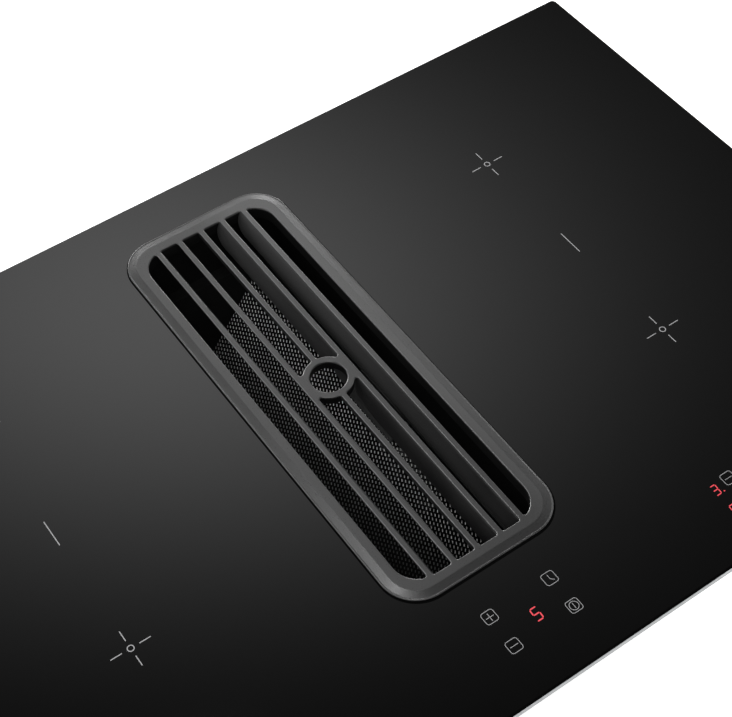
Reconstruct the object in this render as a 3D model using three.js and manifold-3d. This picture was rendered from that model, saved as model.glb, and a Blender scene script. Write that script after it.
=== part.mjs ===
// Downdraft induction cooktop: a glass-ceramic hob with four zones round a central
// air well, a lift-out grille, a V-shaped grease filter, a drip tray and a fan below.
// Millimetres, +X to the right, +Y to the back, +Z up. The origin is on the surface the
// unit stands on, under the middle of the glass. Heights below are measured from the
// glass top, downwards negative, and the whole is lifted at the end.

import * as THREE from 'three';
import { mergeVertices } from 'three/addons/utils/BufferGeometryUtils.js';
import Module from 'manifold-3d';

const wasm = await Module();
wasm.setup();

// ---------------------------------------------------------------- driving dimensions

const clearance = 0.3; // gap between pieces that seat on or in each other

// glass top
const glassLength = 800;
const glassDepth = 520;
const glassThickness = 4;
const glassCornerRadius = 4;
const glassEdgeBevel = 0.5;

// foam seal under the rim of the glass
const rimSealInset = 4;
const rimSealWidth = 8;
const rimSealThickness = 2;

// air well
const wellOverlapSide = 9; // how far the grille reaches past the well, at its sides
const wellOverlapEnd = 9.5; // and at its ends
const wellCornerRadius = 22;
const wellWall = 2.2;
const wellFlangeWidth = 9;
const wellFlangeThickness = 2;
const wellSealThickness = 2;
const wellCollarWidth = 7;
const wellCollarThickness = 2;
const filterLedgeWidth = 4;
const filterLedgeThickness = 3;
const filterLedgeDepth = 59;
const glassHoleInset = 1;

// grille
const grilleWidth = 140;
const grilleFromFront = 94; // from the front edge of the glass to the grille
const grilleFromRear = 41;
const grilleCornerRadius = 29;
const grilleTop = 2.6;
const grilleUnderside = 0.9;
const grilleLipHeight = 0.5;
const grilleBevelWidth = 7;
const slotBorderSide = 14.35; // unbroken border of the grille outside its slots
const slotBorderEnd = 15;
const slotFieldRadius = 20;
const skirtThickness = 2.6;
const skirtDepth = 12;
const barWidth = 4.1;
const barPitch = 19.44;
const plainBarDepth = 5;
const vaneDepth = 15.5;
const vaneLean = 7;
const vaneThickness = 1.8;
const vaneCornerLength = 14; // the rounded lower corner at a vane's rear end
const ringInnerRadius = 14;
const ringOuterRadius = 19;
const ringDepth = 8;
const padWidth = 5;
const padLength = 14;
const padFromRim = 4;
const padSpacing = 150;

// grease filter
const filterRimThickness = 2.5;
const filterSideBorder = 12.5;
const filterEndBorder = 11;
const filterEndPlate = 2;
const filterDepth = 86;
const keelOffset = 11; // how far left of the middle the bottom of the V lies
const keelHalfWidth = 5;
const keelThickness = 3;
const gripLength = 58;
const gripDrop = 20;
const gripFlange = 6;
const gripThickness = 1;
const meshThickness = 1.6;
const meshBorder = 4;
const meshColumns = 3;
const meshRows = 22;
const meshGapShare = 0.86;

// drip tray
const trayGapSide = 6;
const trayGapEnd = 8;
const trayHeight = 18;
const trayCornerRadius = 12;
const trayWall = 1.5;

// sheet-metal casing
const casingInsetSide = 22; // from the edge of the glass to the casing
const casingInsetEnd = 19;
const casingDepth = 60;
const casingSheet = 1.2;
const casingCornerRadius = 8;
const casingFlange = 8;
const ventSlotCount = 7;
const ventSlotWidth = 5;
const ventSlotLength = 34;
const ventSlotPitch = 12;
const ventFieldFromSide = 78;
const wireHoleRadius = 8;

// cooking zones
const zoneInsetSide = 172.5; // from the side of the glass to the zone centres
const zoneMarginFront = 82; // from the edges of the glass to the coil carriers
const zoneMarginRear = 29.6;
const carrierGap = 16.4; // between the front and the rear carrier
const coilHoleRadius = 24;
const coilThickness = 5;
const insulationThickness = 1;
const insulationMargin = 4;
const carrierMargin = 3;
const carrierThickness = 2;
const ferriteCount = 8;
const ferriteWidth = 14;
const ferriteHeight = 5;
const carrierLegInset = 18;
const carrierLegOffsetY = 30;
const carrierLegRadius = 4;
const sensorHeadRadius = 9;
const sensorStemRadius = 5;
const sensorStemLength = 12;

// power electronics, one set on each side
const boardLegGap = 12.5;
const boardCoolerGap = 16;
const boardFromRear = 56;
const boardThickness = 1.6;
const boardStandoff = 6;
const standoffRadius = 3;
const standoffInset = 8;
const capacitorRadius = 12;
const capacitorHeight = 24;
const capacitorCount = 3;
const capacitorPitch = 32;
const chokeSize = 34;
const chokeHeight = 22;
const heatSinkInset = 17.5;
const heatSinkFromEnd = 65;
const heatSinkBase = 4;
const heatSinkHeight = 26;
const heatSinkFins = 7;
const heatSinkFinThickness = 1.6;
const coolerSize = 70;
const coolerHeight = 22;
const coolerFromFront = 45;
const coolerBoreRadius = 32;
const coolerHubRadius = 13;
const coolerHubThickness = 3;
const coolerStrutWidth = 5;
const coolerStruts = 3;
const coolerPinRadius = 2;
const coolerBlades = 7;
const coolerBladeThickness = 1.5;
const coolerBladeChord = 14;
const coolerBladeAngle = 38;
const coolerTipGap = 2;
const coolerRotorInset = 1;
const coolerBladeRoot = 6; // where the blades start inside the hub

// touch control board under the front of the glass
const controlFromSide = 190;
const controlFromFront = 49;
const controlWidth = 44;
const controlBoardThickness = 1.6;
const controlPadHeight = 1.2;
const controlPadSize = 10;
const displayLength = 18;
const keyOffsetX = 25;
const keyOffsetY = 12.5;
const sideKeyInset = 40;
const controlCarrierThickness = 2;
const controlCarrierRim = 4;
const controlLegInset = 60;
const controlLegRadius = 4;

// mains terminal box
const terminalFromSide = 98;
const terminalFromRear = 61;
const terminalLength = 90;
const terminalWidth = 60;
const terminalHeight = 30;
const terminalWall = 2;
const terminalCoverThickness = 2;
const glandThreadRadius = 8.5;
const glandBoreRadius = 6.5;
const glandHeadRadius = 12.5;
const glandHeadLength = 14;
const glandThreadLength = 8;

// fan module
const fanForward = 6.5; // the fan's axis lies this far in front of the well's middle
const voluteStartRadius = 66;
const voluteEndRadius = 75;
const fanInnerWidth = 96;
const fanWall = 2.5;
const fanInletRadius = 52;
const ductLength = 222;
const ductHeight = 89;
const ductStart = 100; // from the fan's axis to the end of the housing's duct
const spigotLength = 28;
const spigotInsetRear = 45.7; // from the rear edge of the glass to the spigot's end
const impellerRadius = 61;
const impellerWidth = 56;
const impellerFrontGap = 4;
const impellerPlate = 2;
const impellerBladeDepth = 11;
const impellerBladeThickness = 1.4;
const impellerBladeSink = 0.5;
const impellerBladeSweep = 9;
const impellerBlades = 20;
const hubRadius = 13;
const hubLength = 20;
const shaftRadius = 4;
const shaftLength = 38;
const motorRadius = 40;
const motorGap = 2;
const motorFlangeRadius = 52;
const motorFlangeThickness = 3;
const motorCapRadius = 37;
const motorCapLength = 16;
const bracketRadius = 60;
const bracketThickness = 2;
const driverLength = 120;
const driverWidth = 76;
const driverHeight = 32;
const driverGap = 38.8; // from the well to the driver box
const driverCornerRadius = 4;

// worktop clips
const worktopThickness = 40;
const clipFromEnd = 81;
const clipWidth = 24;
const clipReach = 18.5;
const clipLegHeight = 22;
const clipSheet = 1.5;
const clipScrewX = 11;
const clipScrewRadius = 2;
const clipScrewHeadRadius = 4;
const clipScrewHeadHeight = 3;

// ---------------------------------------------------------------- derived sizes

const grilleLength = glassDepth - grilleFromFront - grilleFromRear;
const wellCentreY = (grilleFromFront - grilleFromRear) / 2;
const slotFieldWidth = grilleWidth - 2 * slotBorderSide;
const slotFieldLength = grilleLength - 2 * slotBorderEnd;
const wellWidth = grilleWidth - 2 * wellOverlapSide;
const wellLength = grilleLength - 2 * wellOverlapEnd;
const filterMouthHalfWidth = wellWidth / 2 - filterSideBorder;
const casingLength = glassLength - 2 * casingInsetSide;
const casingWidth = glassDepth - 2 * casingInsetEnd;
const carrierRadius = (glassDepth - zoneMarginFront - zoneMarginRear - carrierGap) / 4;
const coilRadius = carrierRadius - carrierMargin;
const zoneX = glassLength / 2 - zoneInsetSide;
const frontZoneY = -glassDepth / 2 + zoneMarginFront + carrierRadius;
const rearZoneY = glassDepth / 2 - zoneMarginRear - carrierRadius;
const carrierLegOffsetX = carrierRadius - carrierLegInset;
const coolerCentreY = -casingWidth / 2 + coolerFromFront;
const boardWidth = 2 * (carrierLegOffsetX - boardLegGap);
const boardFrontY = coolerCentreY + coolerSize / 2 + boardCoolerGap;
const boardRearY = casingWidth / 2 - boardFromRear;
const controlLength = glassLength - 2 * controlFromSide;
const controlCentreY = -glassDepth / 2 + controlFromFront;
const terminalX = -casingLength / 2 + terminalFromSide;
const terminalY = casingWidth / 2 - terminalFromRear;
const fanCentreY = wellCentreY - fanForward;
const ductStartY = fanCentreY + ductStart;

const glassUnderside = -glassThickness;
const casingTop = glassUnderside - clearance;
const casingUnderside = casingTop - casingDepth;
const casingFloor = casingUnderside + casingSheet;
const moduleTop = casingUnderside - clearance;
const fanCentreZ = moduleTop - fanWall - radiusOfVolute(Math.PI / 2);
const base = fanCentreZ - voluteEndRadius - fanWall;
const wellHalfWidth = wellWidth / 2;
const wellOuterHalfWidth = wellHalfWidth + wellWall;
const wellOuterWidth = wellWidth + 2 * wellWall;
const wellOuterLength = wellLength + 2 * wellWall;
const wellOuterRadius = wellCornerRadius + wellWall;
const fanInletX = wellOuterHalfWidth + clearance;
const fanInnerX = fanInletX + fanWall;
const fanMiddleX = fanInnerX + fanInnerWidth / 2;
const fanMotorWallX = fanInnerX + fanInnerWidth;
const fanOuterX = fanMotorWallX + fanWall;
const driverX = -(wellOuterHalfWidth + driverGap + driverWidth / 2);

// ---------------------------------------------------------------- materials

const finishes = {
  glass: new THREE.MeshStandardMaterial({ color: 0x0c0c0d, roughness: 0.08, metalness: 0 }),
  castBlack: new THREE.MeshStandardMaterial({ color: 0x3a3a3b, roughness: 0.5, metalness: 0.2 }),
  paintedBlack: new THREE.MeshStandardMaterial({ color: 0x141415, roughness: 0.55, metalness: 0.1 }),
  steelMesh: new THREE.MeshStandardMaterial({ color: 0xa9abad, roughness: 0.35, metalness: 0.9 }),
  galvanised: new THREE.MeshStandardMaterial({ color: 0xa3a7aa, roughness: 0.45, metalness: 0.8 }),
  plastic: new THREE.MeshStandardMaterial({ color: 0x1d1e20, roughness: 0.6, metalness: 0 }),
  rubber: new THREE.MeshStandardMaterial({ color: 0x111111, roughness: 0.9, metalness: 0 }),
  copper: new THREE.MeshStandardMaterial({ color: 0xa8643a, roughness: 0.4, metalness: 0.7 }),
  mica: new THREE.MeshStandardMaterial({ color: 0xcfc7b4, roughness: 0.8, metalness: 0 }),
  aluminium: new THREE.MeshStandardMaterial({ color: 0xb9bcbf, roughness: 0.35, metalness: 0.9 }),
  circuit: new THREE.MeshStandardMaterial({ color: 0x1f5a3a, roughness: 0.6, metalness: 0 }),
};

// ---------------------------------------------------------------- solid helpers

// A geometry as a manifold solid: shared vertices merged, collapsed faces dropped.
function solidOf(geometry) {
  const bare = geometry.clone();
  bare.deleteAttribute('normal');
  bare.deleteAttribute('uv');
  const merged = mergeVertices(bare, 1e-4);
  const corners = merged.index.array;
  const kept = [];
  for (let i = 0; i < corners.length; i += 3) {
    const [a, b, c] = [corners[i], corners[i + 1], corners[i + 2]];
    if (a !== b && b !== c && c !== a) kept.push(a, b, c);
  }
  return new wasm.Manifold(new wasm.Mesh({
    numProp: 3,
    vertProperties: new Float32Array(merged.attributes.position.array),
    triVerts: new Uint32Array(kept),
  }));
}

function geometryOf(solid) {
  const mesh = solid.getMesh();
  const geometry = new THREE.BufferGeometry();
  geometry.setAttribute('position', new THREE.BufferAttribute(mesh.vertProperties, 3));
  geometry.setIndex(new THREE.BufferAttribute(mesh.triVerts, 1));
  geometry.computeVertexNormals();
  return geometry;
}

function join(...geometries) {
  return geometryOf(geometries.map(solidOf).reduce((sum, next) => sum.add(next)));
}

function cut(body, ...tools) {
  return geometryOf(tools.map(solidOf).reduce((rest, tool) => rest.subtract(tool), solidOf(body)));
}

function box(x0, x1, y0, y1, z0, z1) {
  const geometry = new THREE.BoxGeometry(x1 - x0, y1 - y0, z1 - z0);
  return geometry.translate((x0 + x1) / 2, (y0 + y1) / 2, (z0 + z1) / 2);
}

function roundedRectangle(width, length, radius) {
  const x = width / 2 - radius;
  const y = length / 2 - radius;
  const outline = new THREE.Shape();
  outline.moveTo(x + radius, y);
  outline.absarc(x, y, radius, 0, Math.PI / 2);
  outline.absarc(-x, y, radius, Math.PI / 2, Math.PI);
  outline.absarc(-x, -y, radius, Math.PI, 1.5 * Math.PI);
  outline.absarc(x, -y, radius, 1.5 * Math.PI, 2 * Math.PI);
  return outline;
}

// An outline in plan, extruded between two heights.
function plate(outline, bottom, top, curveSegments = 3) {
  const geometry = new THREE.ExtrudeGeometry(outline, {
    depth: top - bottom,
    bevelEnabled: false,
    curveSegments,
  });
  return geometry.translate(0, 0, bottom);
}

function roundedPlate(width, length, radius, bottom, top, centreY = 0, curveSegments = 3) {
  return plate(roundedRectangle(width, length, radius), bottom, top, curveSegments)
    .translate(0, centreY, 0);
}

function polygon(points) {
  return new THREE.Shape(points.map(([x, y]) => new THREE.Vector2(x, y)));
}

// A section drawn in X and Z, extruded along Y from y0 to y1.
function alongY(points, y0, y1) {
  return plate(polygon(points), 0, y1 - y0).rotateX(Math.PI / 2).translate(0, y1, 0);
}

// A section drawn in Y and Z, extruded along X from x0 to x1.
const drawnInYZ = new THREE.Matrix4().set(0, 0, 1, 0, 1, 0, 0, 0, 0, 1, 0, 0, 0, 0, 0, 1);
function alongX(points, x0, x1) {
  return plate(polygon(points), x0, x1).applyMatrix4(drawnInYZ);
}

// A solid of revolution about Z from [radius, height] points.
function turned(points, segments = 24) {
  const profile = points.map(([r, z]) => new THREE.Vector2(r, z));
  return new THREE.LatheGeometry(profile, segments).rotateX(Math.PI / 2);
}

function disc(radius, bottom, top, segments = 24) {
  return turned([[0, bottom], [radius, bottom], [radius, top], [0, top]], segments);
}

function tube(inner, outer, bottom, top, segments = 24) {
  return turned(
    [[inner, bottom], [outer, bottom], [outer, top], [inner, top], [inner, bottom]],
    segments,
  );
}

// A disc about X through the fan's centre line.
function discAlongX(radius, x0, x1, segments = 32) {
  return disc(radius, x0, x1, segments).applyMatrix4(drawnInYZ);
}

const cooktop = new THREE.Group();

function add(name, geometry, material, parent = cooktop) {
  const mesh = new THREE.Mesh(geometry, material);
  mesh.name = name;
  parent.add(mesh);
  return mesh;
}

const reach = 2 * glassLength; // longer than any piece, for cuts that go right through
const overshoot = clearance; // how far a cut runs past the face that it opens

// ---------------------------------------------------------------- glass and its seals

function buildGlass() {
  const half = glassEdgeBevel;
  const slab = new THREE.ExtrudeGeometry(
    roundedRectangle(glassLength, glassDepth, glassCornerRadius),
    {
      depth: glassThickness - 2 * half,
      bevelThickness: half,
      bevelSize: half,
      bevelOffset: -half,
      bevelSegments: 1,
      curveSegments: 2,
    },
  ).translate(0, 0, glassUnderside + half);
  const inset = 2 * glassHoleInset;
  const hole = roundedPlate(
    wellWidth - inset, wellLength - inset, wellCornerRadius - glassHoleInset,
    -reach, reach, wellCentreY,
  );
  add('glass_top', cut(slab, hole), finishes.glass);

  const sealLength = glassLength - 2 * rimSealInset;
  const sealDepth = glassDepth - 2 * rimSealInset;
  const sealBottom = glassUnderside - rimSealThickness;
  const seal = roundedPlate(sealLength, sealDepth, glassCornerRadius, sealBottom, glassUnderside);
  const sealHole = roundedPlate(
    sealLength - 2 * rimSealWidth, sealDepth - 2 * rimSealWidth, glassCornerRadius, -reach, reach,
  );
  add('rim_seal', cut(seal, sealHole), finishes.rubber);
}

// ---------------------------------------------------------------- grille

// One bar with its air vane, leaning towards the middle of the grille.
function barSection(x) {
  const side = Math.sign(x);
  const half = barWidth / 2;
  const foot = side === 0 ? plainBarDepth : vaneDepth;
  const footHalf = (side === 0 ? barWidth : vaneThickness) / 2;
  const footX = x - side * vaneLean;
  return [
    [footX - footHalf, grilleTop - foot],
    [footX + footHalf, grilleTop - foot],
    [x + half, grilleTop],
    [x - half, grilleTop],
  ];
}

// What the rounded lower corner at the rear end of every vane leaves out.
function vaneCorner() {
  const steps = 6;
  const end = slotFieldLength / 2;
  const top = grilleTop - plainBarDepth;
  const bottom = grilleTop - vaneDepth;
  const points = [[end + slotBorderEnd, top], [end, top]];
  for (let i = 1; i <= steps; i += 1) {
    const angle = ((Math.PI / 2) * i) / steps;
    points.push([
      end - vaneCornerLength * (1 - Math.cos(angle)),
      top - (top - bottom) * Math.sin(angle),
    ]);
  }
  points.push([end - vaneCornerLength, bottom - clearance], [end + slotBorderEnd, bottom - clearance]);
  return alongX(points, -grilleWidth / 2, grilleWidth / 2);
}

function buildGrille() {
  const rise = grilleTop - grilleUnderside - grilleLipHeight;
  const pillow = new THREE.ExtrudeGeometry(
    roundedRectangle(grilleWidth, grilleLength, grilleCornerRadius),
    {
      depth: grilleLipHeight,
      bevelThickness: rise,
      bevelSize: grilleBevelWidth,
      bevelOffset: -grilleBevelWidth,
      bevelSegments: 1,
      curveSegments: 4,
    },
  ).translate(0, 0, grilleUnderside);
  const below = box(-reach, reach, -reach, reach, -reach, grilleUnderside);
  const skirt = roundedPlate(
    slotFieldWidth + 2 * skirtThickness, slotFieldLength + 2 * skirtThickness,
    slotFieldRadius + skirtThickness, grilleTop - skirtDepth, grilleUnderside + grilleLipHeight,
    0, 4,
  );
  const field = roundedPlate(slotFieldWidth, slotFieldLength, slotFieldRadius, -reach, reach, 0, 4);
  const frame = cut(join(cut(pillow, below), skirt), field);

  const halfLength = slotFieldLength / 2 + skirtThickness / 2;
  const bars = [-2, -1, 1, 2].map((i) => alongY(barSection(i * barPitch), -halfLength, halfLength));
  const fingerHole = disc(ringInnerRadius, -reach, reach, 28);
  const ring = tube(ringInnerRadius, ringOuterRadius, grilleTop - ringDepth, grilleTop, 28);
  const ringFace = (ringInnerRadius + ringOuterRadius) / 2;
  const middle = [
    alongY(barSection(0), -halfLength, -ringFace),
    alongY(barSection(0), ringFace, halfLength),
  ];
  // The bars stop inside the frame: the part past it is trimmed to the skirt's outline.
  const trim = roundedPlate(
    slotFieldWidth + skirtThickness, slotFieldLength + skirtThickness,
    slotFieldRadius + skirtThickness / 2, -reach, reach, 0, 4,
  );
  const whole = geometryOf(solidOf(join(...bars, ...middle)).intersect(solidOf(trim)));
  const ribs = cut(whole, vaneCorner());
  const grille = cut(join(frame, ribs, ring), fingerHole).translate(0, wellCentreY, 0);
  add('grille', grille, finishes.castBlack);

  const padX = grilleWidth / 2 - padFromRim;
  const padEndY = grilleLength / 2 - padFromRim;
  const padHalf = padWidth / 2;
  const addPad = (name, x, y, alongLength) => {
    const halfX = alongLength ? padHalf : padLength / 2;
    const halfY = alongLength ? padLength / 2 : padHalf;
    const pad = box(x - halfX, x + halfX, y - halfY, y + halfY, clearance, grilleUnderside);
    add(name, pad, finishes.rubber);
  };
  for (const [side, sign] of [['left', -1], ['right', 1]]) {
    addPad(`grille_pad_front_${side}`, sign * padX, wellCentreY - padSpacing / 2, true);
    addPad(`grille_pad_rear_${side}`, sign * padX, wellCentreY + padSpacing / 2, true);
  }
  addPad('grille_pad_front_end', 0, wellCentreY - padEndY, false);
  addPad('grille_pad_rear_end', 0, wellCentreY + padEndY, false);
}

// ---------------------------------------------------------------- air well

function buildWell() {
  const sealTop = glassUnderside;
  const flangeTop = sealTop - wellSealThickness;
  const flangeWidth = wellOuterWidth + 2 * wellFlangeWidth;
  const flangeLength = wellOuterLength + 2 * wellFlangeWidth;
  const flangeRadius = wellOuterRadius + wellFlangeWidth;
  const centred = (width, length, radius, bottom, top) =>
    roundedPlate(width, length, radius, bottom, top, wellCentreY);

  const throat = centred(wellWidth, wellLength, wellCornerRadius, base + fanWall, reach);
  const seal = centred(flangeWidth, flangeLength, flangeRadius, flangeTop, sealTop);
  add('well_seal', cut(seal, throat), finishes.rubber);

  const wall = centred(wellOuterWidth, wellOuterLength, wellOuterRadius, base, flangeTop);
  const flange = centred(
    flangeWidth, flangeLength, flangeRadius, flangeTop - wellFlangeThickness, flangeTop,
  );
  const collar = centred(
    wellOuterWidth + 2 * wellCollarWidth, wellOuterLength + 2 * wellCollarWidth,
    wellOuterRadius + wellCollarWidth,
    casingFloor + clearance, casingFloor + clearance + wellCollarThickness,
  );
  const ledgeSpan = 2 * filterLedgeWidth;
  const ledgeHole = centred(
    wellWidth - ledgeSpan, wellLength - ledgeSpan, wellCornerRadius - filterLedgeWidth,
    -reach, reach,
  );
  const ledge = cut(
    centred(
      wellWidth + wellWall, wellLength + wellWall, wellCornerRadius + wellWall / 2,
      -filterLedgeDepth - filterLedgeThickness, -filterLedgeDepth,
    ),
    ledgeHole,
  );
  const port = discAlongX(fanInletRadius, 0, wellOuterWidth).translate(0, fanCentreY, fanCentreZ);
  add('air_well', cut(join(cut(join(wall, flange, collar), throat), ledge), port), finishes.plastic);
}

// ---------------------------------------------------------------- grease filter and tray

// A flat net with staggered diamond gaps, lying in X (across) and Y (along).
function netPanel(width, length) {
  const outline = polygon([
    [-width / 2, -length / 2], [width / 2, -length / 2],
    [width / 2, length / 2], [-width / 2, length / 2],
  ]);
  const pitchX = (width - 2 * meshBorder) / (meshColumns + 0.5);
  const pitchY = (length - 2 * meshBorder) / meshRows;
  for (let row = 0; row < meshRows; row += 1) {
    const y = -length / 2 + meshBorder + (row + 0.5) * pitchY;
    const shift = row % 2 ? 0.5 : 0;
    for (let column = 0; column < meshColumns; column += 1) {
      const x = -width / 2 + meshBorder + (column + 0.5 + shift) * pitchX;
      const gapX = (pitchX / 2) * meshGapShare;
      const gapY = (pitchY / 2) * meshGapShare;
      const gap = [[x - gapX, y], [x, y - gapY], [x + gapX, y], [x, y + gapY]];
      outline.holes.push(new THREE.Path(gap.map(([u, v]) => new THREE.Vector2(u, v))));
    }
  }
  return plate(outline, -meshThickness / 2, meshThickness / 2);
}

function buildFilter() {
  const rimBottom = -filterLedgeDepth + clearance;
  const rimTop = rimBottom + filterRimThickness;
  const keelBottom = rimBottom - filterDepth;
  const keelTop = keelBottom + keelThickness;
  const play = 2 * clearance;
  const rimWidth = wellWidth - 2 * play;
  const rimLength = wellLength - 2 * play;
  const mouthHalfLength = wellLength / 2 - filterEndBorder;
  const mouth = box(
    -filterMouthHalfWidth, filterMouthHalfWidth,
    wellCentreY - mouthHalfLength, wellCentreY + mouthHalfLength, -reach, reach,
  );
  const rim = cut(
    roundedPlate(rimWidth, rimLength, wellCornerRadius - play, rimBottom, rimTop, wellCentreY),
    mouth,
  );
  // Two end plates close the V, and a keel joins them along its bottom.
  const sink = filterRimThickness / 2;
  const keelLeft = -keelOffset - keelHalfWidth;
  const keelRight = -keelOffset + keelHalfWidth;
  const vee = [
    [keelLeft, keelBottom], [keelRight, keelBottom],
    [filterMouthHalfWidth + sink, rimBottom + sink], [-filterMouthHalfWidth - sink, rimBottom + sink],
  ];
  const ends = [-1, 1].map((side) => {
    const inner = wellCentreY + side * mouthHalfLength;
    const outer = inner + side * filterEndPlate;
    return alongY(vee, Math.min(inner, outer), Math.max(inner, outer));
  });
  const keel = box(
    keelLeft, keelRight,
    wellCentreY - mouthHalfLength - filterEndPlate / 2,
    wellCentreY + mouthHalfLength + filterEndPlate / 2,
    keelBottom, keelTop,
  );

  // Each net spans from the keel to the underside of the rim. Both sides are worked out
  // as if on the right and then turned over.
  const half = meshThickness / 2;
  const netOf = (side) => {
    const foot = new THREE.Vector2(
      -side * keelOffset + clearance + half, keelTop + clearance + half,
    );
    const head = new THREE.Vector2(filterMouthHalfWidth - half, rimBottom - clearance - half);
    return { side, foot, head, slope: head.clone().sub(foot) };
  };
  const nets = [netOf(-1), netOf(1)];

  // A smooth grip plate, bent over the rim, lies on the top of each net halfway along.
  const flangeBottom = rimTop - gripThickness / 2;
  const flangeTop = flangeBottom + gripThickness;
  const flangeX = filterMouthHalfWidth + gripFlange;
  const grips = nets.map(({ side, head, slope }) => {
    const along = slope.clone().normalize();
    const inward = new THREE.Vector2(-along.y, along.x);
    const gripPoint = (drop, lift) =>
      head.clone().addScaledVector(along, -drop).addScaledVector(inward, lift);
    const gripBack = half + clearance;
    const gripFront = gripBack + gripThickness;
    const bendAt = (z, lift) => gripPoint((gripPoint(0, lift).y - z) / along.y, lift);
    const section = [
      gripPoint(gripDrop, gripBack), bendAt(flangeBottom, gripBack),
      new THREE.Vector2(flangeX, flangeBottom), new THREE.Vector2(flangeX, flangeTop),
      bendAt(flangeTop, gripFront), gripPoint(gripDrop, gripFront),
    ].map((point) => [side * point.x, point.y]);
    if (side < 0) section.reverse();
    return alongY(section, wellCentreY - gripLength / 2, wellCentreY + gripLength / 2);
  });
  add('filter_frame', join(rim, ...ends, keel, ...grips), finishes.paintedBlack);

  const panelLength = 2 * (mouthHalfLength - clearance);
  for (const { side, foot, head, slope } of nets) {
    const middle = head.clone().add(foot).multiplyScalar(0.5);
    const panel = add(
      `filter_mesh_${side < 0 ? 'left' : 'right'}`, netPanel(slope.length(), panelLength),
      finishes.steelMesh,
    );
    panel.rotation.y = -side * slope.angle();
    panel.position.set(side * middle.x, wellCentreY, middle.y);
  }
}

function buildTray() {
  const floor = base + fanWall + clearance;
  const trayWidth = wellWidth - 2 * trayGapSide;
  const trayLength = wellLength - 2 * trayGapEnd;
  const outer = roundedPlate(
    trayWidth, trayLength, trayCornerRadius, floor, floor + trayHeight, wellCentreY, 2,
  );
  const inner = roundedPlate(
    trayWidth - 2 * trayWall, trayLength - 2 * trayWall, trayCornerRadius - trayWall,
    floor + trayWall, reach, wellCentreY, 2,
  );
  add('drip_tray', cut(outer, inner), finishes.plastic);
}

// ---------------------------------------------------------------- casing

function buildCasing() {
  const outer = roundedPlate(
    casingLength, casingWidth, casingCornerRadius, casingUnderside, casingTop, 0, 2,
  );
  const cavity = roundedPlate(
    casingLength - 2 * casingSheet, casingWidth - 2 * casingSheet,
    casingCornerRadius - casingSheet, casingFloor, casingTop - casingSheet, 0, 2,
  );
  const mouth = roundedPlate(
    casingLength - 2 * casingFlange, casingWidth - 2 * casingFlange, casingCornerRadius,
    casingTop - casingSheet - overshoot, reach, 0, 2,
  );
  const wellHole = roundedPlate(
    wellOuterWidth + 2 * clearance, wellOuterLength + 2 * clearance,
    wellOuterRadius + clearance, -reach, casingFloor + overshoot, wellCentreY,
  );
  const floorCut = (radius, x, y) =>
    disc(radius, casingUnderside - overshoot, casingFloor + overshoot).translate(x, y, 0);
  const ventFieldX = casingLength / 2 - ventFieldFromSide;
  const vents = [];
  for (const sign of [-1, 1]) {
    vents.push(floorCut(coolerBoreRadius, sign * zoneX, coolerCentreY));
    for (let i = 0; i < ventSlotCount; i += 1) {
      const x = sign * ventFieldX + (i - (ventSlotCount - 1) / 2) * ventSlotPitch;
      const top = casingTop - casingFlange;
      vents.push(box(
        x - ventSlotWidth / 2, x + ventSlotWidth / 2,
        casingWidth / 2 - casingSheet - overshoot, reach,
        top - ventSlotLength, top,
      ));
    }
  }
  const wires = [
    floorCut(wireHoleRadius, terminalX, terminalY),
    floorCut(wireHoleRadius, driverX, fanCentreY),
  ];
  add('casing', cut(outer, cavity, mouth, wellHole, ...vents, ...wires), finishes.galvanised);
}

// ---------------------------------------------------------------- cooking zones

function buildZones() {
  const sheetTop = glassUnderside - clearance;
  const sheetBottom = sheetTop - insulationThickness;
  const coilTop = sheetBottom - clearance;
  const coilBottom = coilTop - coilThickness;
  const carrierTop = coilBottom - clearance;
  const carrierBottom = carrierTop - carrierThickness;
  const sensorHole = sensorStemRadius + clearance;

  for (const [side, sign] of [['left', -1], ['right', 1]]) {
    const sheet = roundedPlate(
      2 * (coilRadius + insulationMargin),
      rearZoneY - frontZoneY + 2 * (coilRadius + insulationMargin),
      coilRadius + insulationMargin, sheetBottom, sheetTop, 0, 4,
    ).translate(sign * zoneX, (rearZoneY + frontZoneY) / 2, 0);
    add(`insulation_sheet_${side}`, sheet, finishes.mica);

    for (const [row, y] of [['front', frontZoneY], ['rear', rearZoneY]]) {
      const name = `${row}_${side}`;
      const zone = new THREE.Group();
      zone.position.set(sign * zoneX, y, 0);
      cooktop.add(zone);

      add(`coil_${name}`, tube(coilHoleRadius, coilRadius, coilBottom, coilTop, 28),
        finishes.copper, zone);

      const carrier = [tube(sensorHole, carrierRadius, carrierBottom, carrierTop, 24)];
      for (let i = 0; i < ferriteCount; i += 1) {
        const ferrite = box(
          coilHoleRadius, coilRadius - ferriteWidth / 2, -ferriteWidth / 2, ferriteWidth / 2,
          carrierBottom - ferriteHeight, carrierBottom + carrierThickness / 2,
        );
        carrier.push(ferrite.rotateZ(((i + 0.5) * 2 * Math.PI) / ferriteCount));
      }
      for (const legX of [-carrierLegOffsetX, carrierLegOffsetX]) {
        for (const legY of [-carrierLegOffsetY, carrierLegOffsetY]) {
          carrier.push(disc(
            carrierLegRadius, casingFloor + clearance, carrierBottom + carrierThickness / 2, 6,
          ).translate(legX, legY, 0));
        }
      }
      add(`coil_carrier_${name}`, join(...carrier), finishes.aluminium, zone);

      // The sensor's head presses on the insulation sheet and its stem passes the carrier.
      const sensor = turned([
        [0, carrierBottom - sensorStemLength], [sensorStemRadius, carrierBottom - sensorStemLength],
        [sensorStemRadius, carrierTop + clearance], [sensorHeadRadius, carrierTop + clearance],
        [sensorHeadRadius, coilTop], [0, coilTop],
      ], 16);
      add(`zone_sensor_${name}`, sensor, finishes.plastic, zone);
    }
  }
}

// ---------------------------------------------------------------- power electronics

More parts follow.
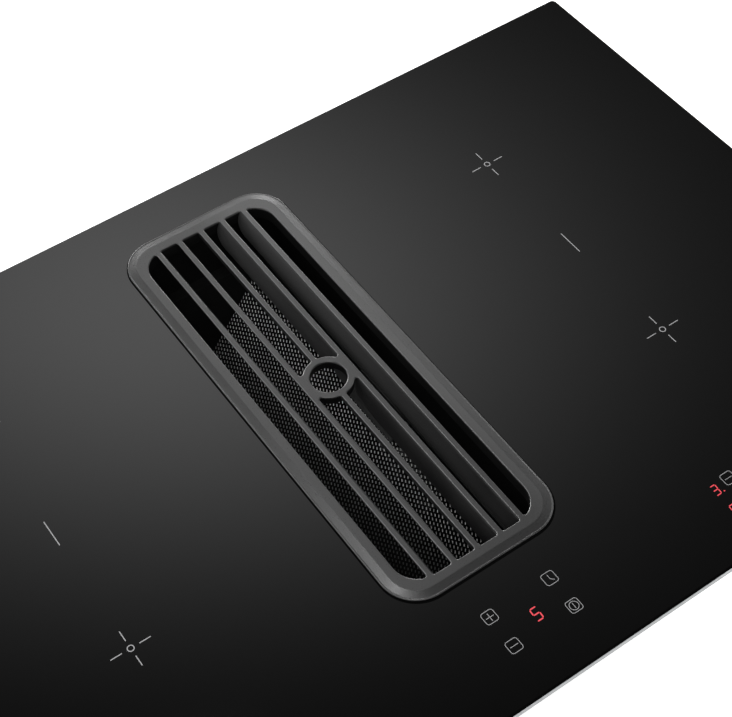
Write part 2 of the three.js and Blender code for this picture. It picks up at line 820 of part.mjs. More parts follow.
function buildPowerBoard(side, sign) {
  const boardBottom = casingFloor + clearance + boardStandoff;
  const boardTop = boardBottom + boardThickness;
  const halfWidth = boardWidth / 2;
  const halfLength = (boardRearY - boardFrontY) / 2;
  const boardCentreY = (boardRearY + boardFrontY) / 2;
  const pieces = [box(-halfWidth, halfWidth, -halfLength, halfLength, boardBottom, boardTop)];
  for (const x of [-halfWidth + standoffInset, halfWidth - standoffInset]) {
    for (const y of [-halfLength + standoffInset, halfLength - standoffInset]) {
      pieces.push(disc(
        standoffRadius, casingFloor + clearance, boardBottom + boardThickness / 2, 8,
      ).translate(x, y, 0));
    }
  }
  const sunk = boardTop - boardThickness / 2;
  const tallX = halfWidth - capacitorRadius - standoffInset;
  for (let i = 0; i < capacitorCount; i += 1) {
    pieces.push(disc(capacitorRadius, sunk, boardTop + capacitorHeight, 12)
      .translate(tallX, (i - 1) * capacitorPitch, 0));
  }
  const chokeY = halfLength - chokeSize - standoffInset;
  pieces.push(box(
    tallX - chokeSize / 2, tallX + chokeSize / 2, chokeY - chokeSize / 2, chokeY + chokeSize / 2,
    sunk, boardTop + chokeHeight,
  ));
  const board = add(`power_board_${side}`, join(...pieces), finishes.circuit);
  board.position.set(sign * zoneX, boardCentreY, 0);

  // The heat sink covers the inner half of the board, up to its middle.
  const sinkBottom = boardTop + clearance;
  const sinkHalf = (halfWidth - heatSinkInset) / 2;
  const sinkHalfLength = halfLength - heatSinkFromEnd;
  const fins = [box(
    -sinkHalf, sinkHalf, -sinkHalfLength, sinkHalfLength,
    sinkBottom, sinkBottom + heatSinkBase,
  )];
  const finPitch = (2 * sinkHalf - heatSinkFinThickness) / (heatSinkFins - 1);
  for (let i = 0; i < heatSinkFins; i += 1) {
    const x = -sinkHalf + i * finPitch;
    fins.push(box(
      x, x + heatSinkFinThickness, -sinkHalfLength, sinkHalfLength,
      sinkBottom, sinkBottom + heatSinkHeight,
    ));
  }
  const sink = add(`heat_sink_${side}`, join(...fins), finishes.aluminium);
  sink.position.set(sign * zoneX - sinkHalf, boardCentreY - standoffInset, 0);
}

function buildCooler(side, sign) {
  const cooler = new THREE.Group();
  cooler.position.set(sign * zoneX, coolerCentreY, casingFloor + clearance);
  cooktop.add(cooler);
  const half = coolerSize / 2;
  const shell = cut(
    box(-half, half, -half, half, 0, coolerHeight),
    disc(coolerBoreRadius, -overshoot, coolerHeight + overshoot, 28),
  );
  const spokes = [];
  for (let i = 0; i < coolerStruts; i += 1) {
    spokes.push(box(
      0, coolerBoreRadius + overshoot, -coolerStrutWidth / 2, coolerStrutWidth / 2, 0, coolerHubThickness,
    ).rotateZ((i * 2 * Math.PI) / coolerStruts));
  }
  const pinTop = coolerHeight - 2 * coolerHubThickness;
  const pin = disc(coolerPinRadius, coolerHubThickness / 2, pinTop, 10);
  const hub = disc(coolerHubRadius, 0, coolerHubThickness, 20);
  add(`cooling_fan_frame_${side}`, join(shell, hub, pin, ...spokes), finishes.plastic, cooler);

  const rotorBottom = coolerHubThickness + clearance;
  const rotorTop = coolerHeight - coolerRotorInset;
  const blades = [];
  const bladeTip = coolerBoreRadius - coolerTipGap;
  for (let i = 0; i < coolerBlades; i += 1) {
    const blade = new THREE.BoxGeometry(
      bladeTip - coolerBladeRoot, coolerBladeChord, coolerBladeThickness,
    );
    blades.push(blade
      .translate((bladeTip + coolerBladeRoot) / 2, 0, 0)
      .rotateX((coolerBladeAngle * Math.PI) / 180)
      .rotateZ((i * 2 * Math.PI) / coolerBlades)
      .translate(0, 0, (rotorBottom + rotorTop) / 2));
  }
  const bore = disc(coolerPinRadius + clearance, 0, pinTop + clearance, 10);
  const rotor = cut(join(disc(coolerHubRadius, rotorBottom, rotorTop, 20), ...blades), bore);
  add(`cooling_fan_rotor_${side}`, rotor, finishes.plastic, cooler);
}

function buildControls() {
  const padTop = glassUnderside - clearance;
  const boardTop = padTop - controlPadHeight;
  const boardBottom = boardTop - controlBoardThickness;
  const halfLength = controlLength / 2;
  const halfWidth = controlWidth / 2;
  const pieces = [box(-halfLength, halfLength, -halfWidth, halfWidth, boardBottom, boardTop)];
  const addPad = (x, y, length) => pieces.push(box(
    x - length / 2, x + length / 2, y - controlPadSize / 2, y + controlPadSize / 2,
    boardTop - controlBoardThickness / 2, padTop,
  ));
  for (const x of [-keyOffsetX, keyOffsetX]) {
    for (const y of [-keyOffsetY, keyOffsetY]) {
      addPad(x, y, controlPadSize);
    }
  }
  addPad(0, 0, displayLength);
  const sideKeyX = halfLength - sideKeyInset;
  for (const x of [-sideKeyX, sideKeyX]) {
    addPad(x, keyOffsetY, displayLength);
    addPad(x, -keyOffsetY, displayLength);
  }
  const board = add('control_board', join(...pieces), finishes.circuit);
  board.position.y = controlCentreY;

  // The plastic carrier is a shallow tray on legs that holds the board against the glass.
  const trayTop = boardBottom - clearance;
  const trayBottom = trayTop - controlCarrierThickness - controlCarrierRim;
  const shell = cut(
    box(-halfLength, halfLength, -halfWidth, halfWidth, trayBottom, trayTop),
    box(
      -halfLength + controlCarrierThickness, halfLength - controlCarrierThickness,
      -halfWidth + controlCarrierThickness, halfWidth - controlCarrierThickness,
      trayBottom + controlCarrierThickness, reach,
    ),
  );
  const legs = [];
  const controlLegX = halfLength - controlLegInset;
  for (const x of [-controlLegX, 0, controlLegX]) {
    legs.push(disc(
      controlLegRadius, casingFloor + clearance, trayBottom + controlCarrierThickness / 2, 10,
    ).translate(x, 0, 0));
  }
  const carrier = add('control_carrier', join(shell, ...legs), finishes.plastic);
  carrier.position.y = controlCentreY;
}

// ---------------------------------------------------------------- mains terminal box

function buildTerminalBox() {
  const terminal = new THREE.Group();
  terminal.position.set(terminalX, terminalY, moduleTop);
  cooktop.add(terminal);
  const halfX = terminalLength / 2;
  const halfY = terminalWidth / 2;
  const wall = terminalWall;
  const holeZ = -terminalHeight / 2;
  const glandHole = disc(glandThreadRadius + clearance, halfY - 2 * wall, halfY + wall, 20)
    .rotateX(-Math.PI / 2).translate(0, 0, holeZ);
  const shell = cut(
    box(-halfX, halfX, -halfY, halfY, -terminalHeight, 0),
    box(-halfX + wall, halfX - wall, -halfY + wall, halfY - wall, -reach, -wall),
    disc(wireHoleRadius, -reach, reach, 20),
    glandHole,
  );
  add('terminal_box', shell, finishes.plastic, terminal);

  const coverTop = -terminalHeight - clearance;
  const cover = box(-halfX, halfX, -halfY, halfY, coverTop - terminalCoverThickness, coverTop);
  add('terminal_box_cover', cover, finishes.plastic, terminal);

  const seat = halfY + clearance;
  const gland = add('cable_gland', turned([
    [glandBoreRadius, seat - glandThreadLength], [glandThreadRadius, seat - glandThreadLength],
    [glandThreadRadius, seat], [glandHeadRadius, seat], [glandHeadRadius, seat + glandHeadLength],
    [glandBoreRadius, seat + glandHeadLength], [glandBoreRadius, seat - glandThreadLength],
  ], 20), finishes.plastic, terminal);
  gland.rotation.x = -Math.PI / 2;
  gland.position.z = holeZ;
}

// ---------------------------------------------------------------- fan module

// Inner radius of the volute at an angle from +Y towards +Z.
function radiusOfVolute(angle) {
  const start = voluteStartAngle();
  const share = (angle - start) / (1.5 * Math.PI - start);
  return voluteStartRadius + (voluteEndRadius - voluteStartRadius) * share;
}

function voluteStartAngle() {
  return Math.asin((ductHeight - voluteEndRadius) / voluteStartRadius);
}

// The volute's outline in Y and Z with its straight duct, moved outwards by one offset.
function voluteOutline(offset, ductEnd) {
  const steps = 26;
  const start = voluteStartAngle();
  const points = [];
  for (let i = 0; i <= steps; i += 1) {
    const angle = start + ((1.5 * Math.PI - start) * i) / steps;
    const radius = radiusOfVolute(angle) + offset;
    points.push([fanCentreY + radius * Math.cos(angle), fanCentreZ + radius * Math.sin(angle)]);
  }
  const bottom = fanCentreZ - voluteEndRadius - offset;
  points.push([ductEnd, bottom], [ductEnd, bottom + ductHeight + 2 * offset]);
  return points;
}

function buildFanHousing() {
  const outer = voluteOutline(fanWall, ductStartY);
  const inner = voluteOutline(0, ductStartY + fanWall);
  const atCentre = (geometry) => geometry.translate(0, fanCentreY, fanCentreZ);
  const inlet = cut(
    alongX(outer, fanInletX, fanMiddleX - clearance / 2),
    alongX(inner, fanInnerX, fanMiddleX + overshoot),
    atCentre(discAlongX(fanInletRadius, 0, fanMiddleX)),
  );
  add('fan_housing_inlet_half', inlet, finishes.plastic);

  const motorSide = cut(
    alongX(outer, fanMiddleX + clearance / 2, fanOuterX),
    alongX(inner, fanMiddleX - overshoot, fanMotorWallX),
    atCentre(discAlongX(motorRadius + clearance, fanMiddleX, fanOuterX + overshoot)),
  );
  add('fan_housing_motor_half', motorSide, finishes.plastic);

  // The outlet adapter widens the duct to the flat spigot.
  const y0 = ductStartY + clearance;
  const y2 = glassDepth / 2 - spigotInsetRear;
  const y1 = y2 - spigotLength;
  const spigotX = fanInnerX + ductLength + fanWall;
  const planOf = (inset, past) => polygon([
    [fanInletX + inset, y0 - past], [fanOuterX - inset, y0 - past],
    [fanOuterX - inset, y0], [spigotX - inset, y1],
    [spigotX - inset, y2 + past], [fanInletX + inset, y2 + past],
  ]);
  const ductTop = base + ductHeight + 2 * fanWall;
  const adapter = cut(
    plate(planOf(0, 0), base, ductTop),
    plate(planOf(fanWall, overshoot), base + fanWall, ductTop - fanWall),
  );
  add('outlet_adapter', adapter, finishes.plastic);
}

function buildImpeller() {
  // Turned about local Z, which lies along X in the housing.
  const rotor = new THREE.Group();
  rotor.position.set(fanInnerX + impellerFrontGap, fanCentreY, fanCentreZ);
  rotor.rotation.y = Math.PI / 2;
  cooktop.add(rotor);

  const plateFace = impellerWidth - impellerPlate;
  const inner = impellerRadius - impellerBladeDepth;
  const sweep = (impellerBladeSweep * Math.PI) / 180;
  const blades = [];
  for (let i = 0; i < impellerBlades; i += 1) {
    const bladeAt = (radius, turn, side) => {
      const half = (side * impellerBladeThickness) / 2 / radius;
      return [radius * Math.cos(turn + half), radius * Math.sin(turn + half)];
    };
    const root = inner + impellerBladeSink;
    const tip = impellerRadius - impellerBladeSink;
    const mid = (root + tip) / 2;
    const bow = sweep / 3;
    const outline = polygon([
      bladeAt(root, 0, -1), bladeAt(mid, bow, -1), bladeAt(tip, sweep, -1),
      bladeAt(tip, sweep, 1), bladeAt(mid, bow, 1), bladeAt(root, 0, 1),
    ]);
    blades.push(plate(outline, impellerPlate / 2, plateFace + impellerPlate / 2)
      .rotateZ((i * 2 * Math.PI) / impellerBlades));
  }
  const hub = disc(hubRadius, impellerWidth - hubLength, impellerWidth, 20);
  const backPlate = disc(impellerRadius, plateFace, impellerWidth, 48);
  const frontRing = tube(inner, impellerRadius, 0, impellerPlate, 48);
  const bore = disc(shaftRadius + clearance, -overshoot, impellerWidth + overshoot, 12);
  const wheel = cut(join(backPlate, frontRing, hub, ...blades), bore);
  add('impeller', wheel, finishes.plastic, rotor);

  const motorFace = impellerWidth + motorGap;
  const shaftStart = impellerWidth - hubLength;
  add('impeller_shaft', disc(shaftRadius, shaftStart, shaftStart + shaftLength, 12),
    finishes.galvanised, rotor);

  const housingFace = fanOuterX - (fanInnerX + impellerFrontGap);
  const bracketFront = housingFace + clearance;
  const bracketBack = bracketFront + bracketThickness;
  add('motor_bracket', tube(motorRadius + clearance, bracketRadius, bracketFront, bracketBack, 32),
    finishes.galvanised, rotor);

  const flangeFront = bracketBack + clearance;
  const flangeBack = flangeFront + motorFlangeThickness;
  const boreRadius = shaftRadius + clearance;
  const boreEnd = shaftStart + shaftLength + clearance;
  add('fan_motor', turned([
    [boreRadius, motorFace], [motorRadius, motorFace], [motorRadius, flangeFront],
    [motorFlangeRadius, flangeFront], [motorFlangeRadius, flangeBack],
    [motorCapRadius, flangeBack], [motorCapRadius, flangeBack + motorCapLength],
    [0, flangeBack + motorCapLength], [0, boreEnd], [boreRadius, boreEnd], [boreRadius, motorFace],
  ], 32), finishes.galvanised, rotor);
}

function buildDriver() {
  const outline = roundedRectangle(driverWidth, driverLength, driverCornerRadius);
  const driver = plate(outline, moduleTop - driverHeight, moduleTop, 1);
  driver.translate(driverX, fanCentreY, 0);
  add('fan_driver_box', driver, finishes.plastic);
}

// ---------------------------------------------------------------- worktop clips

function buildClips() {
  const wallX = casingLength / 2 + clearance;
  const footBottom = casingUnderside + casingSheet;
  const worktopUnderside = glassUnderside - rimSealThickness - worktopThickness;
  const clipY = casingWidth / 2 - clipFromEnd;
  for (const [side, sign] of [['left', -1], ['right', 1]]) {
    for (const [row, y] of [['front', -clipY], ['rear', clipY]]) {
      const section = [
        [wallX, footBottom], [wallX + clipReach, footBottom],
        [wallX + clipReach, footBottom + clipSheet], [wallX + clipSheet, footBottom + clipSheet],
        [wallX + clipSheet, footBottom + clipLegHeight], [wallX, footBottom + clipLegHeight],
      ];
      const angle = sign < 0 ? section.map(([x, z]) => [-x, z]).reverse() : section;
      const screwX = sign * (wallX + clipScrewX);
      const hole = disc(clipScrewRadius + clearance, -reach, reach, 10).translate(screwX, y, 0);
      const bracket = cut(alongY(angle, y - clipWidth / 2, y + clipWidth / 2), hole);
      add(`clip_${row}_${side}`, bracket, finishes.galvanised);

      const headTop = footBottom - clearance;
      const headBottom = headTop - clipScrewHeadHeight;
      const screw = turned([
        [0, headBottom], [clipScrewHeadRadius, headBottom], [clipScrewHeadRadius, headTop],
        [clipScrewRadius, headTop], [clipScrewRadius, worktopUnderside - clearance],
        [0, worktopUnderside - clearance],
      ], 10);
      add(`clip_screw_${row}_${side}`, screw.translate(screwX, y, 0), finishes.galvanised);
    }
  }
}

// ---------------------------------------------------------------- the whole

buildGlass();
buildGrille();
buildWell();
buildFilter();
buildTray();
buildCasing();
buildZones();
for (const [side, sign] of [['left', -1], ['right', 1]]) {
  buildPowerBoard(side, sign);
  buildCooler(side, sign);
}
buildControls();
buildTerminalBox();
buildFanHousing();
buildImpeller();
buildDriver();
buildClips();

cooktop.position.z = -base;

export default cooktop;
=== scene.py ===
"""Downdraft induction cooktop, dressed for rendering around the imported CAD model.

Sizes are written in millimetres, with heights measured from the glass top, and turned
into metres when a mesh is made.
"""

import math

import bmesh
import bpy
from mathutils import Matrix, Vector
from mathutils.geometry import tessellate_polygon


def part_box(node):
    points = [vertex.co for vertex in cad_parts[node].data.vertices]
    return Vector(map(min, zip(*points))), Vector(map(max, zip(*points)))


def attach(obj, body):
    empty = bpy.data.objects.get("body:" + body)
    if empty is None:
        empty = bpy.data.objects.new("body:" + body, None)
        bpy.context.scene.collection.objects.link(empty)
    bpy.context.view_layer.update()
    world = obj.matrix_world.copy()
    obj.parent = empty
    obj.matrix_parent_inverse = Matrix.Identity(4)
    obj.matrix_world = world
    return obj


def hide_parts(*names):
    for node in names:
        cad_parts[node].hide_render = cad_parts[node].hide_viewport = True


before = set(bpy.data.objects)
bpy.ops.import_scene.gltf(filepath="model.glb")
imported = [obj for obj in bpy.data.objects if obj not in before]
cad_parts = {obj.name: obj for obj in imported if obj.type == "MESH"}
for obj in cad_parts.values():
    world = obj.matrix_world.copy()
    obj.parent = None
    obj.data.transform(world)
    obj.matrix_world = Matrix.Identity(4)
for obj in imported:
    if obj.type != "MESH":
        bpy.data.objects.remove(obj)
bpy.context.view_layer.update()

MM = 0.001
GLASS_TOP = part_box("glass_top")[1].z / MM
WELL_Y = (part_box("grille")[0].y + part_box("grille")[1].y) / 2 / MM  # the middle of the air well
QUARTER = math.pi / 2


# ------------------------------------------------------------------ nodes

class Nodes:
    """A node tree, with short ways to add the common kinds of node."""

    def __init__(self, tree, coordinates="Object"):
        self.nodes = tree.nodes
        self.links = tree.links
        self.place = self.nodes.new("ShaderNodeTexCoord").outputs[coordinates]

    def feed(self, socket, value):
        """Sets a socket, or links another node's output to it."""
        if isinstance(value, bpy.types.NodeSocket):
            self.links.new(value, socket)
        else:
            socket.default_value = value

    def calculate(self, operation, *values):
        node = self.nodes.new("ShaderNodeMath")
        node.operation = operation
        for socket, value in zip(node.inputs, values):
            self.feed(socket, value)
        return node.outputs[0]

    def product(self, first, second):
        return self.calculate("MULTIPLY", first, second)

    def along(self, vector, source=None):
        """How far a place or a direction lies along a vector."""
        node = self.nodes.new("ShaderNodeVectorMath")
        node.operation = "DOT_PRODUCT"
        self.links.new(source or self.place, node.inputs[0])
        node.inputs[1].default_value = vector
        return node.outputs["Value"]

    def ranged(self, value, low, high, start=0.0, end=1.0):
        """A value that runs from start to end, made to run from low to high."""
        node = self.nodes.new("ShaderNodeMapRange")
        self.links.new(value, node.inputs["Value"])
        node.inputs["From Min"].default_value = start
        node.inputs["From Max"].default_value = end
        node.inputs["To Min"].default_value = low
        node.inputs["To Max"].default_value = high
        return node.outputs["Result"]

    def mixed(self, share, first, second, kind="RGBA"):
        """The first value where the share is 0, and the second where it is 1."""
        node = self.nodes.new("ShaderNodeMix")
        node.data_type = kind
        self.links.new(share, node.inputs["Factor"])
        self.feed(node.inputs["A"], first)
        self.feed(node.inputs["B"], second)
        return node.outputs["Result"]


class Finish(Nodes):
    """A material with a Principled shader; each method adds one kind of detail to it."""

    def __init__(self, name, colour, roughness, metallic=0.0):
        self.material = bpy.data.materials.new(name)
        self.material.use_nodes = True
        super().__init__(self.material.node_tree)
        self.shader = self.nodes["Principled BSDF"]
        self.set("Base Color", (*colour, 1))
        self.set("Roughness", roughness)
        self.set("Metallic", metallic)
        self.relief = None

    def set(self, socket, value):
        self.shader.inputs[socket].default_value = value

    def texture(self, kind, scale, **sockets):
        node = self.nodes.new(f"ShaderNodeTex{kind}")
        self.links.new(self.place, node.inputs["Vector"])
        node.inputs["Scale"].default_value = scale
        for socket, value in sockets.items():
            node.inputs[socket].default_value = value
        return node

    def noise(self, scale, detail, **sockets):
        return self.texture("Noise", scale, Detail=detail, **sockets).outputs["Fac"]

    def vary_colour(self, value, darker, lighter, start=0.0, end=1.0):
        """The base colour runs between two colours with a texture's value."""
        share = self.ranged(value, 0, 1, start, end)
        colour = self.mixed(share, (*darker, 1), (*lighter, 1))
        self.links.new(colour, self.shader.inputs["Base Color"])
        return self

    def tint(self, grey, share):
        """A grey takes a share of the surface's own colour, from 0 to 1."""
        socket = self.shader.inputs["Base Color"]
        own = socket.links[0].from_socket
        self.links.new(self.mixed(share, own, (grey, grey, grey, 1)), socket)

    def vary_roughness(self, value, low, high, start=0.0, end=1.0):
        self.links.new(self.ranged(value, low, high, start, end), self.shader.inputs["Roughness"])
        return self

    def bump(self, value, distance):
        """A texture's value as relief, distance millimetres deep, on top of what there is."""
        node = self.nodes.new("ShaderNodeBump")
        node.inputs["Distance"].default_value = distance * MM
        node.inputs["Strength"].default_value = 1.0
        self.links.new(value, node.inputs["Height"])
        if self.relief is not None:
            self.links.new(self.relief, node.inputs["Normal"])
        self.relief = node.outputs["Normal"]
        self.links.new(self.relief, self.shader.inputs["Normal"])
        return self


# ------------------------------------------------------------------ camera and stage

PHOTO_WIDTH, FOCAL_LENGTH = 732, 1637.6  # pixels
CAMERA_X, CAMERA_Y, CAMERA_ABOVE_GLASS = -383.443, -590.398, 945.138
CAMERA_TURN, CAMERA_TILT, CAMERA_ROLL = -34.038, 38.206, -1.354  # degrees

OVAL_AZIMUTH, OVAL_ELEVATION = 22.59, 49.39  # degrees
OVAL_HALF_WIDTH, OVAL_HALF_HEIGHT = 0.212, 0.140  # sines of the angles seen from the glass
OVAL_SLANT = -0.176
OVAL_LIGHT, SKY_LIGHT = 1.716, 0.054
WHITE_BELOW, DIM_ABOVE = 16, 32  # degrees above the horizon


def make_camera():
    """The photograph's camera, worked out from the edges and the marks of the glass."""
    data = bpy.data.cameras.new("camera")
    data.sensor_width = 36.0
    data.lens = FOCAL_LENGTH * data.sensor_width / PHOTO_WIDTH
    data.clip_start = 0.05
    camera = bpy.data.objects.new("camera", data)
    turn = Matrix.Rotation(math.radians(CAMERA_TURN), 4, "Z")
    tilt = Matrix.Rotation(math.radians(CAMERA_TILT), 4, "X")
    roll = Matrix.Rotation(math.radians(CAMERA_ROLL), 4, "Z")
    place = Vector((CAMERA_X, CAMERA_Y, CAMERA_ABOVE_GLASS + GLASS_TOP)) * MM
    camera.matrix_world = Matrix.Translation(place) @ turn @ tilt @ roll
    bpy.context.scene.collection.objects.link(camera)
    bpy.context.scene.camera = camera


def aim(azimuth, elevation):
    """Unit vector to a point of the sky: azimuth from +Y towards +X, elevation upwards."""
    a, e = math.radians(azimuth), math.radians(elevation)
    return Vector((math.sin(a) * math.cos(e), math.cos(a) * math.cos(e), math.sin(e)))


def make_lamp(name, azimuth, elevation, distance, width, height, power):
    """A soft box aimed at the middle of the glass: distance and sides in metres, power in watts."""
    data = bpy.data.lights.new(name, "AREA")
    data.shape = "RECTANGLE"
    data.size = width
    data.size_y = height
    data.energy = power
    lamp = bpy.data.objects.new(name, data)
    direction = aim(azimuth, elevation)
    lamp.location = direction * distance + Vector((0, 0, GLASS_TOP * MM))
    lamp.rotation_euler = direction.to_track_quat("Z", "Y").to_euler()
    bpy.context.scene.collection.objects.link(lamp)


def make_lamps():
    make_lamp("lamp_back", -2, 17, 2.2, 1.1, 0.5, 24)
    make_lamp("lamp_low", 39, 17, 2.2, 0.6, 0.4, 12)
    make_lamp("lamp_high", 0, 75, 2.4, 0.42, 0.42, 5.5)
    make_lamp("lamp_left", -50, 38, 2.4, 1.0, 0.9, 12)
    make_lamp("lamp_front", -150, 55, 2.4, 1.6, 1.6, 22)
    make_lamp("lamp_side", 105, 35, 2.6, 1.4, 1.2, 10)


def oval_of_light(sky):
    """The share of the oval's light in a direction: 1 in its middle, fading outwards."""
    centre = aim(OVAL_AZIMUTH, OVAL_ELEVATION)
    across = Vector((centre.y, -centre.x, 0)).normalized()
    upward = across.cross(centre)
    u = sky.along(across / OVAL_HALF_WIDTH)
    v = sky.along(upward / OVAL_HALF_HEIGHT)
    squares = sky.calculate("ADD", sky.product(u, u), sky.product(v, v))
    spread = sky.calculate("ADD", squares, sky.product(sky.product(u, v), 2 * OVAL_SLANT))
    return sky.calculate("EXPONENT", sky.product(spread, -1.0))


def make_world():
    """A dim sky with one soft oval of light behind the cooktop, and white round the horizon."""
    world = bpy.data.worlds.new("sky")
    bpy.context.scene.world = world
    world.use_nodes = True
    sky = Nodes(world.node_tree, "Generated")
    background = sky.nodes["Background"]
    background.inputs["Color"].default_value = (1, 1, 1, 1)
    glow = sky.calculate("MULTIPLY_ADD", oval_of_light(sky), OVAL_LIGHT, SKY_LIGHT)
    low, high = math.sin(math.radians(WHITE_BELOW)), math.sin(math.radians(DIM_ABOVE))
    height = sky.ranged(sky.along((0, 0, 1)), 0, 1, low, high)
    height.node.interpolation_type = "SMOOTHSTEP"
    strength = sky.mixed(height, 1.0, glow, "FLOAT")
    sky.links.new(strength, background.inputs["Strength"])


def white_paper():
    """Paper that keeps the shadow, and is white to the camera, in mirrors and through glass."""
    paper = Finish("floor_paper", (0.8, 0.8, 0.8), 0.9)
    paper.set("Specular IOR Level", 0.0)
    paper.set("Emission Color", (1, 1, 1, 1))
    rays = paper.nodes.new("ShaderNodeLightPath").outputs
    seen = paper.calculate("MAXIMUM", rays["Is Camera Ray"], rays["Is Glossy Ray"])
    seen = paper.calculate("MAXIMUM", seen, rays["Is Transmission Ray"])
    distance = paper.nodes.new("ShaderNodeVectorMath")
    distance.operation = "LENGTH"
    paper.links.new(paper.place, distance.inputs[0])
    near, far = 0.8, 2.5
    glow = paper.ranged(distance.outputs["Value"], 0.72, 1.0, near, far)
    paper.links.new(paper.product(seen, glow), paper.shader.inputs["Emission Strength"])
    return paper


def make_floor():
    half = 6.0
    mesh = bpy.data.meshes.new("floor")
    corners = [(-half, -half, 0), (half, -half, 0), (half, half, 0), (-half, half, 0)]
    mesh.from_pydata(corners, [], [(0, 1, 2, 3)])
    mesh.materials.append(white_paper().material)
    floor = bpy.data.objects.new("floor", mesh)
    bpy.context.scene.collection.objects.link(floor)


# ------------------------------------------------------------------ finishes

MOST = (0.3, 0.7)  # most values of a noise texture lie between these


def shade(colour, factor):
    return tuple(min(1.0, part * factor) for part in colour)


def moulded(name, colour, roughness, specular=0.5):
    """Moulded plastic: a fine spark-eroded grain and a faint flow mottle."""
    made = Finish(name, colour, roughness)
    made.set("Specular IOR Level", specular)
    flow = made.noise(14, 3)
    made.vary_colour(flow, shade(colour, 0.85), shade(colour, 1.18), *MOST)
    made.vary_roughness(flow, roughness - 0.05, roughness + 0.06, *MOST)
    return made.bump(made.noise(900, 2), 0.02)


def painted_vane_light(made):
    """Painted light low down and to the right, which is on the vanes, where the bars leave them in
    shade.
    """
    low_right = made.along((-0.45, -0.06, 1))
    start, end = GLASS_TOP - 10, GLASS_TOP - 24.5
    made.tint(0.05, made.ranged(low_right, 0, 1, start * MM, end * MM))


def painted_edge_highlight(made):
    """A painted highlight on the slanted edges that look left, above the glass alone."""
    normal = made.nodes.new("ShaderNodeNewGeometry").outputs["Normal"]
    facing = made.along((-0.92, 0.39, 0), normal)
    edges = made.product(made.ranged(facing, 0, 1, 0.2, 0.35), made.ranged(facing, 1, 0, 0.75, 0.9))
    start, end = GLASS_TOP + 1, GLASS_TOP + 1.3
    above = made.ranged(made.along((0, 0, 1)), 0, 1, start * MM, end * MM)
    made.tint(0.065, made.product(edges, above))


def enamelled():
    """Matt enamel on cast iron: near black, with painted light low on the vanes and a painted highlight
    on the left edges.
    """
    colour = (0.0145, 0.0143, 0.0144)
    made = Finish("cast_enamel", colour, 0.31)
    made.set("Specular IOR Level", 0.8)
    made.set("IOR", 1.6)
    broad, fine = made.noise(45, 3), made.noise(1500, 3)
    made.vary_colour(broad, shade(colour, 0.85), shade(colour, 1.2), *MOST)
    made.vary_roughness(fine, 0.27, 0.35, *MOST)
    painted_vane_light(made)
    painted_edge_highlight(made)
    made.bump(broad, 0.03)
    return made.bump(fine, 0.012)


def painted_grip_light(made):
    """Painted light on the middle of the filter, below its rim, at the grips."""
    half_length, fade = 32, 4
    upper, lower = GLASS_TOP - 60, GLASS_TOP - 64
    share = made.ranged(made.along((0, 0, 1)), 0, 1, upper * MM, lower * MM)
    lengthwise = made.along((0, 1, 0))
    for side in (1, -1):
        start, end = WELL_Y + side * half_length, WELL_Y + side * (half_length + fade)
        near = made.ranged(lengthwise, 1, 0, start * MM, end * MM)
        share = made.product(share, near)
    made.tint(0.075, share)


def painted():
    """Powder coat with the soft dimples of orange peel, and painted light at the grips."""
    colour = (0.010, 0.010, 0.010)
    made = Finish("powder_black", colour, 0.45)
    made.set("Specular IOR Level", 0.2)
    broad = made.noise(20, 2)
    made.vary_colour(broad, shade(colour, 0.85), shade(colour, 1.25), *MOST)
    made.vary_roughness(broad, 0.41, 0.51, *MOST)
    painted_grip_light(made)
    return made.bump(made.noise(420, 1), 0.03)


def galvanised():
    """Zinc-coated sheet: angular spangles of slightly different grey and gloss."""
    made = Finish("zinc_sheet", (0.42, 0.43, 0.44), 0.5, 0.8)
    spangles = made.nodes.new("ShaderNodeSeparateColor")
    made.links.new(made.texture("Voronoi", 170).outputs["Color"], spangles.inputs["Color"])
    made.vary_colour(spangles.outputs["Red"], (0.385, 0.395, 0.405), (0.46, 0.468, 0.475))
    made.vary_roughness(spangles.outputs["Green"], 0.45, 0.57)
    return made.bump(made.noise(260, 4), 0.012)


def turned_steel():
    made = Finish("plain_steel", (0.60, 0.60, 0.59), 0.3, 1.0)
    wear = made.noise(90, 4)
    made.vary_colour(wear, (0.50, 0.50, 0.49), (0.66, 0.66, 0.65), *MOST)
    return made.vary_roughness(wear, 0.22, 0.42, *MOST)


def cast_aluminium():
    made = Finish("cast_aluminium", (0.72, 0.73, 0.735), 0.4, 1.0)
    broad = made.noise(18, 2)
    made.vary_colour(broad, (0.63, 0.64, 0.65), (0.78, 0.79, 0.79), *MOST)
    made.vary_roughness(broad, 0.33, 0.48, *MOST)
    return made.bump(made.noise(380, 3), 0.03)


def foam():
    made = Finish("closed_foam", (0.035, 0.035, 0.037), 0.95)
    cells = made.texture("Voronoi", 1400).outputs["Distance"]
    made.vary_colour(cells, (0.018, 0.018, 0.019), (0.055, 0.055, 0.057))
    return made.bump(cells, 0.15)


def rubber():
    made = Finish("soft_rubber", (0.016, 0.016, 0.016), 0.72)
    dust = made.noise(120, 4)
    made.vary_colour(dust, (0.011, 0.011, 0.011), (0.028, 0.028, 0.027), 0.35, 0.75)
    return made.bump(dust, 0.03)


def black_glass():
    """Glass-ceramic, black through and polished, with the faintest film of wiping marks."""
    colour = (0.0005, 0.0005, 0.0005)
    made = Finish("ceramic_glass", colour, 0.045)
    made.set("IOR", 1.5)
    film = made.noise(5, 3)
    made.vary_colour(film, shade(colour, 0.8), shade(colour, 1.2), *MOST)
    return made.vary_roughness(film, 0.042, 0.048, *MOST)


def mica():
    made = Finish("mica_sheet", (0.62, 0.57, 0.47), 0.7)
    fibres = made.noise(160, 5, Distortion=0.8)
    made.vary_colour(fibres, (0.50, 0.45, 0.36), (0.70, 0.66, 0.56), *MOST)
    return made.bump(fibres, 0.08)


